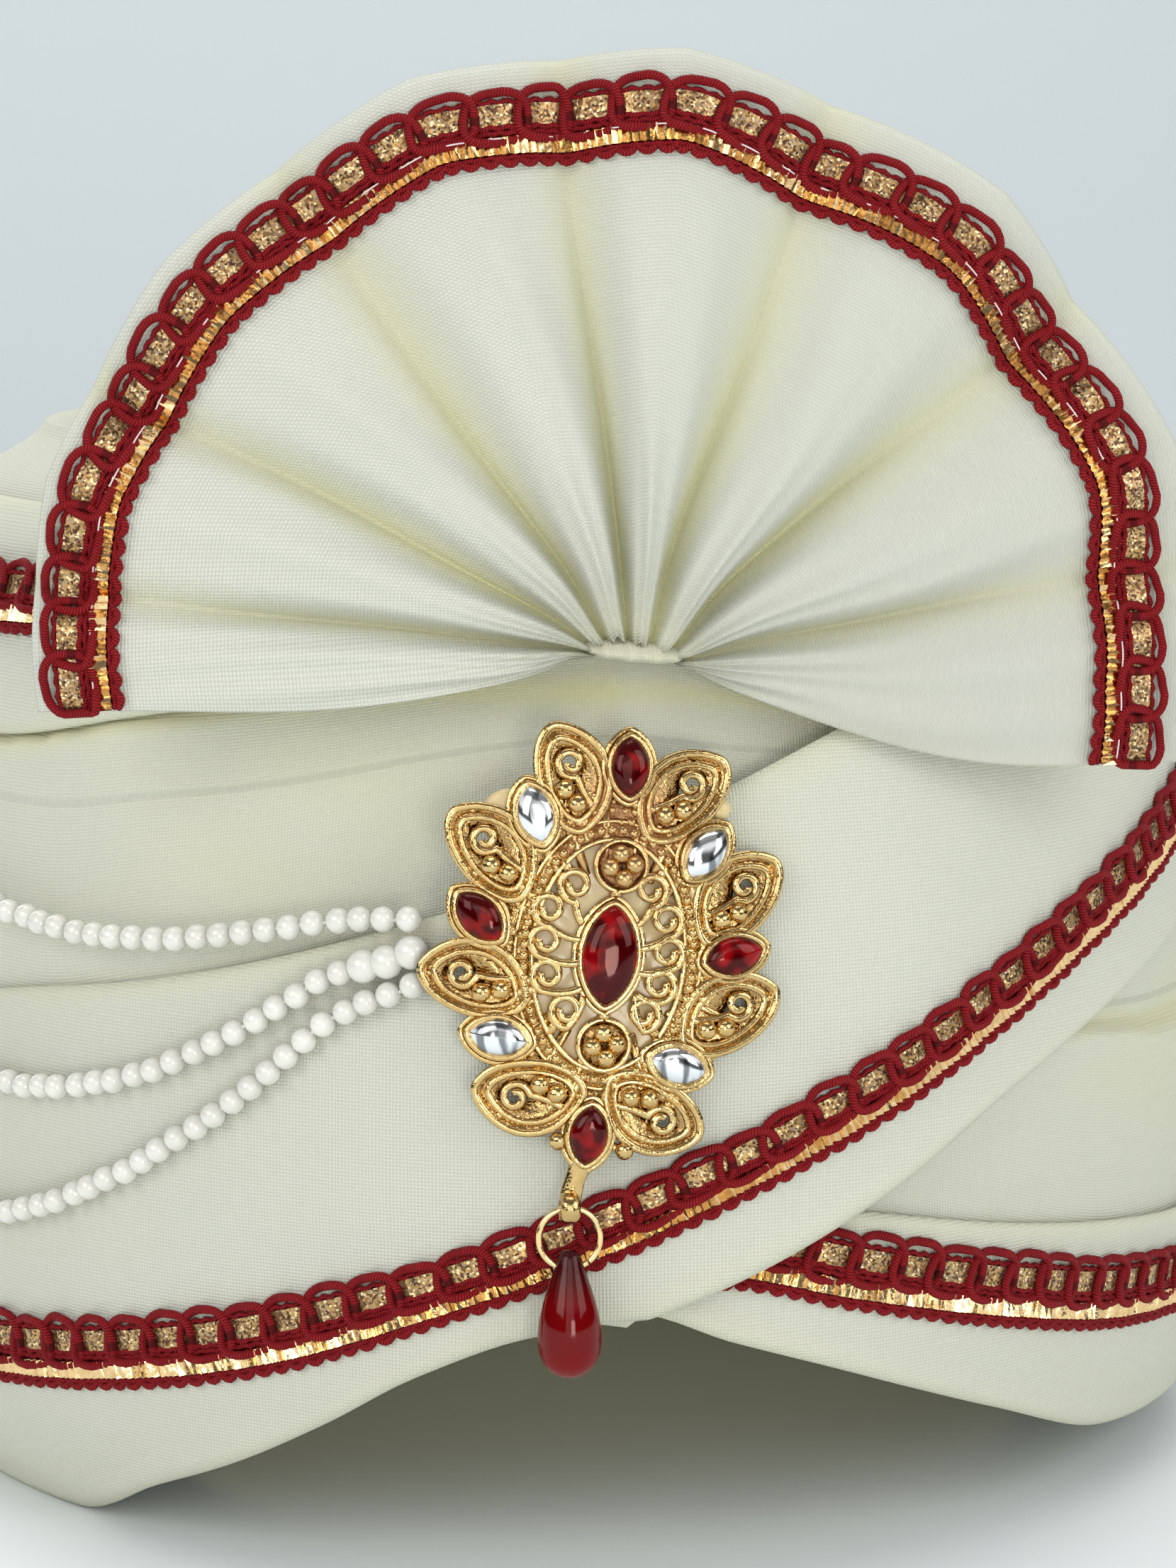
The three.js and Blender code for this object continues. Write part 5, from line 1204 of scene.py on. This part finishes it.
bumps = 0.35 * np.sin(x * 1.1 + 1) * np.sin(y * 0.9) + 0.2 * np.sin(x * 2.3) * np.cos(y * 2.1)
dome = np.sqrt(np.clip(1 - radial**4, 0, 1))
top = onto_turban(x, y, -0.45 + 0.35 * dome + 0.3 * bumps * dome)
bottom = onto_turban(x, y, -1.35 + 0 * x)
parts = [(np.concatenate([bottom[::-1], top[1:]]), grid_faces(43, 80, closed_columns=True)[:, ::-1])]
GLUE_BLOBS = [
    dict(across=a, up=u, size=s, swell=w) for a, u, s, w in (
        (9.1, 14.0, 1.2, 0.8), (12.8, 8.4, 1.7, 0.8), (16.6, 20.3, 1.6, 0.6), (6.1, 18.4, 1.0, 0.6),
        (-12.9, -8.4, 1.0, 0.7), (-15.1, -0.6, 1.0, 0.6), (16.2, 6.0, 3.0, 0.25), (-13.6, 19.6, 4.2, 0.14),
        (-8.5, 22.5, 2.6, 0.25), (14.0, 16.4, 3.0, 0.25), (11.5, 1.6, 1.1, 0.7), (-10.0, 13.6, 1.4, 0.4))
]
up, around = ball_angles(10, 18)
for row in GLUE_BLOBS:
    size = row["size"]
    blob_x = row["across"] + size * np.sin(up) * np.cos(around)
    blob_y = row["up"] + size * np.sin(up) * np.sin(around)
    blob = onto_turban(blob_x, blob_y, row["swell"] * size * np.cos(up) - 0.1)
    parts.append((blob, grid_faces(10, 18, closed_columns=True)))
glue_blobs = make_piece("glue_blobs", parts, glue)
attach(glue_blobs, "root")
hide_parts("glue_pad")


# Jump ring and drop: a split ring of gold-plated wire through the peg's eye, and on it a
# drop of dark red resin, drilled across near its tip.
JUMP_RADIUS, JUMP_WIRE, JUMP_STEPS = 4.4, 0.42, 90
ring_gold = Look("ring_gold", (0.9, 0.68, 0.33), 0.16, 1.0)
ring_gold.bump(ring_gold.noise(ring_gold.place(), 900.0, 2.0), 0.25, 0.0003)
turn = np.linspace(np.radians(-52), np.radians(306), JUMP_STEPS)
ring_path = ring_middle + MM * np.stack(
    [JUMP_RADIUS * np.cos(turn), 0.12 * np.sin(turn / 2), JUMP_RADIUS * np.sin(turn)], -1)
ring_out = np.tile([0.0, -1.0, 0.0], (JUMP_STEPS, 1))
ring_part, _ = cords(ring_path[None], ring_out[None], JUMP_WIRE * MM, 10)
split_ring = make_piece("split_ring", [ring_part], ring_gold)
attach(split_ring, "root")
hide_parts("jump_ring")

drop_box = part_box("red_drop")
drop_middle = np.mean(drop_box, axis=0)
drop_length = drop_box[1][2] - drop_box[0][2]
DROP_RADIUS = 4.6
DROP_OUTLINE = [
    dict(up=u, out=o) for u, o in (
        (0, 0), (0.008, 0.22), (0.03, 0.44), (0.07, 0.66), (0.13, 0.85), (0.22, 0.97), (0.31, 1.0),
        (0.42, 0.965), (0.55, 0.86), (0.7, 0.68), (0.84, 0.49), (0.93, 0.38), (0.975, 0.3),
        (0.995, 0.15), (1, 0))
]
height_share = (1 - np.cos(np.linspace(0, np.pi, 60))) / 2
around = np.linspace(0, 2 * np.pi, 64, endpoint=False)
reach = follow(DROP_OUTLINE, "up", "out", height_share)[:, None] * DROP_RADIUS * MM
drop = np.stack(np.broadcast_arrays(
    drop_middle[0] + reach * np.cos(around), drop_middle[1] + reach * np.sin(around),
    (drop_box[0][2] + height_share * drop_length)[:, None]), -1)
resin = Look("red_resin", (0.3, 0.002, 0.006), 0.06, Specular_IOR_Level=0.3,
             Specular_Tint=(1.0, 0.75, 0.7, 1))
height = resin.split(resin.place())[2]
up_drop = resin.times(resin.minus(height, float(drop_box[0][2])), 1 / float(drop_length), clamp=True)
# Painted light: the drop is painted brightest red at its bottom, as light glowing through the resin, and
# darker towards its top.
resin.colour(resin.ramp(up_drop, (
    (0.0, (0.2, 0.002, 0.004)), (0.28, (0.13, 0.001, 0.002)), (0.62, (0.12, 0.001, 0.002)),
    (0.8, (0.05, 0.001, 0.002)), (0.95, (0.035, 0.003, 0.005)))))
resin_drop = make_piece("resin_drop", [(drop, grid_faces(60, 64, closed_columns=True)[:, ::-1])], resin)
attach(resin_drop, "root")
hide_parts("red_drop")


# Pearl strings: moulded plastic pearls threaded close together, fastened behind the brooch
# and carried round the viewer's left to a stitch at the turban's side.
PEARL, PEARL_PITCH, BIG_PEARL, STRING_AIR, STRING_THREAD = 3.8, 3.84, 5.0, 0.3, 0.3
STRINGS = {
    "pearl_string_upper": (
        (-14.5, 0.611), (-20.5, 0.604), (-27, 0.589), (-35, 0.572), (-43, 0.571), (-51, 0.582),
        (-62, 0.604), (-74, 0.63), (-86, 0.66), (-96, 0.682)),
    "pearl_string_middle": (
        (-14.5, 0.588), (-21.4, 0.556), (-29, 0.493), (-37, 0.445), (-46, 0.421), (-55, 0.423),
        (-65, 0.449), (-76, 0.503), (-87, 0.583), (-96, 0.652)),
    "pearl_string_lower": (
        (-14.5, 0.561), (-21, 0.522), (-28, 0.442), (-37.5, 0.36), (-47.5, 0.303), (-58, 0.277),
        (-68, 0.288), (-78, 0.35), (-88, 0.47), (-96, 0.62)),
}
lustre = Look("pearl_lustre", (0.72, 0.705, 0.65), 0.14, Coat_Weight=0.8, Coat_Roughness=0.12,
              Subsurface_Weight=0.15, Subsurface_Radius=(0.0012, 0.001, 0.0009))
lustre.colour(lustre.mix(lustre.noise(lustre.place(), 90.0, 1.0), (0.78, 0.765, 0.71), (0.6, 0.585, 0.53)))
up, around = ball_angles(9, 16)
ball = np.stack([np.sin(up) * np.cos(around), np.sin(up) * np.sin(around), np.cos(up)], -1).reshape(-1, 3)
ball_faces = grid_faces(9, 16, closed_columns=True)
for name, route in STRINGS.items():
    rows = [dict(step=i, angle=a, height=share * CROWN_HEIGHT) for i, (a, share) in enumerate(route)]
    t = np.linspace(0, len(rows) - 1, 600)
    fine_angle = follow(rows, "step", "angle", t)
    straight = np.interp(t, np.arange(len(rows)), [row["height"] for row in rows])
    fine_height = smooth_line(straight[:, None], 45)[:, 0]
    _, _, top, lift = cloth_at(fine_angle + 360)
    blend = ease((fine_height - top - 1) / 8)
    base_stand = lift + CLOTH_BULGE + CLOTH_WALL
    stand = base_stand + (PLEAT_DEPTH - base_stand) * blend + STRING_AIR + PEARL / 2
    line = on_roll(fine_angle, fine_height, stand)
    run = np.concatenate([[0], np.cumsum(np.linalg.norm(np.diff(line, axis=0), axis=1))])
    count = int(run[-1] / (PEARL_PITCH * MM))
    places = np.linspace(PEARL / 2 * MM, run[-1] - PEARL / 2 * MM, count)
    middles = np.stack([np.interp(places, run, line[:, k]) for k in range(3)], -1)
    sizes = np.full(count, PEARL / 2 * MM)
    if name == "pearl_string_middle":
        sizes[:3] = BIG_PEARL / 2 * MM
    draw = np.random.default_rng(len(name))
    middles = middles + draw.normal(0, 0.12 * MM, middles.shape)
    points = middles[:, None] + sizes[:, None, None] * ball[None]
    faces = (ball_faces[None] + (np.arange(count) * len(ball))[:, None, None]).reshape(-1, 4)
    away = on_roll(fine_angle, fine_height, stand + 1) - line
    thread, _ = cords(line[None, ::6], away[None, ::6], STRING_THREAD * MM, 5)
    string = make_piece(name + "_pearls", [(points, faces), thread], lustre)
    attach(string, "root")
    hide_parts(name)


# Studio: a pale blue-grey table that sweeps up into a backdrop, under soft light from above,
# both sides and behind. A little light inside the roll shows through the cloth, and the room's
# bright and dark walls are seen only by what mirrors them.
backdrop = Look("pale_backdrop", (0.83, 0.87, 0.87), 0.75)
sweep = np.linspace(0, np.pi / 2, 12)
reach = np.array([-3.0, 3.0])
profile_y = np.concatenate([[-3.0], np.linspace(-1, 1.2, 4), 1.6 + 0.4 * np.sin(sweep), [2.0]])
profile_z = np.concatenate([[0.0], np.zeros(4), 0.4 - 0.4 * np.cos(sweep), [3.0]])
floor_points = np.stack(np.broadcast_arrays(reach[:, None], profile_y[None, :], profile_z[None, :]), -1)
floor = make_piece("backdrop", [(floor_points, grid_faces(2, len(profile_y))[:, ::-1])], backdrop)


def soft_light(name, place, target, size, power, colour):
    """A square soft box that faces its target."""
    data = bpy.data.lights.new(name, "AREA")
    data.shape = "SQUARE"
    data.size, data.energy, data.color = size, power, colour
    light = bpy.data.objects.new(name, data)
    light.location = place
    light.rotation_euler = (Vector(target) - Vector(place)).to_track_quat("-Z", "Y").to_euler()
    bpy.context.collection.objects.link(light)


soft_light("key_left", (-1.0, -1.05, 0.75), (0, -0.05, 0.12), 0.9, 7.6, (1.0, 0.99, 0.98))
soft_light("key_right", (1.05, -0.9, 0.7), (0, -0.05, 0.12), 0.9, 6.2, (0.98, 0.99, 1.0))
soft_light("top", (0.0, 0.15, 1.35), (0, 0, 0.1), 1.0, 7.5, (1, 1, 1))
soft_light("front", (-0.1, -1.35, 0.3), (0, 0, 0.12), 0.7, 2.0, (1.0, 1.0, 0.97))
soft_light("low_front", (0.1, -0.95, 0.09), (0, 0.1, 0.06), 0.2, 1.2, (1.0, 0.98, 0.9))
soft_light("through_cloth", (0, -0.01, 0.125), (0, -0.05, 0), 0.11, 0.011, (1.0, 0.97, 0.6))
soft_light("behind", (-0.4, 1.15, 0.8), (0, 0.1, 0.1), 0.9, 7, (1, 1, 1))
world = bpy.data.worlds.new("studio")
bpy.context.scene.world = world
world.use_nodes = True
room = Nodes(world.node_tree)
background = room.nodes["Background"]
background.inputs["Strength"].default_value = 0.6
rise = room.split(room.nodes.new("ShaderNodeTexCoord").outputs["Generated"])[2]
ROOM_GREYS = (
    (0.0, 0.5), (0.44, 0.35), (0.5, 0.04), (0.6, 0.06), (0.66, 1.6), (0.76, 1.3), (0.82, 0.25), (1.0, 0.5))
walls = room.ramp(room.plus(room.times(rise, 0.5), 0.5), [(at, (grey,) * 3) for at, grey in ROOM_GREYS])
mirrored = room.nodes.new("ShaderNodeLightPath").outputs["Is Glossy Ray"]
room.put(room.mix(mirrored, (0.84, 0.89, 0.92), walls), background.inputs["Color"])
bpy.context.scene.view_settings.view_transform = "Standard"
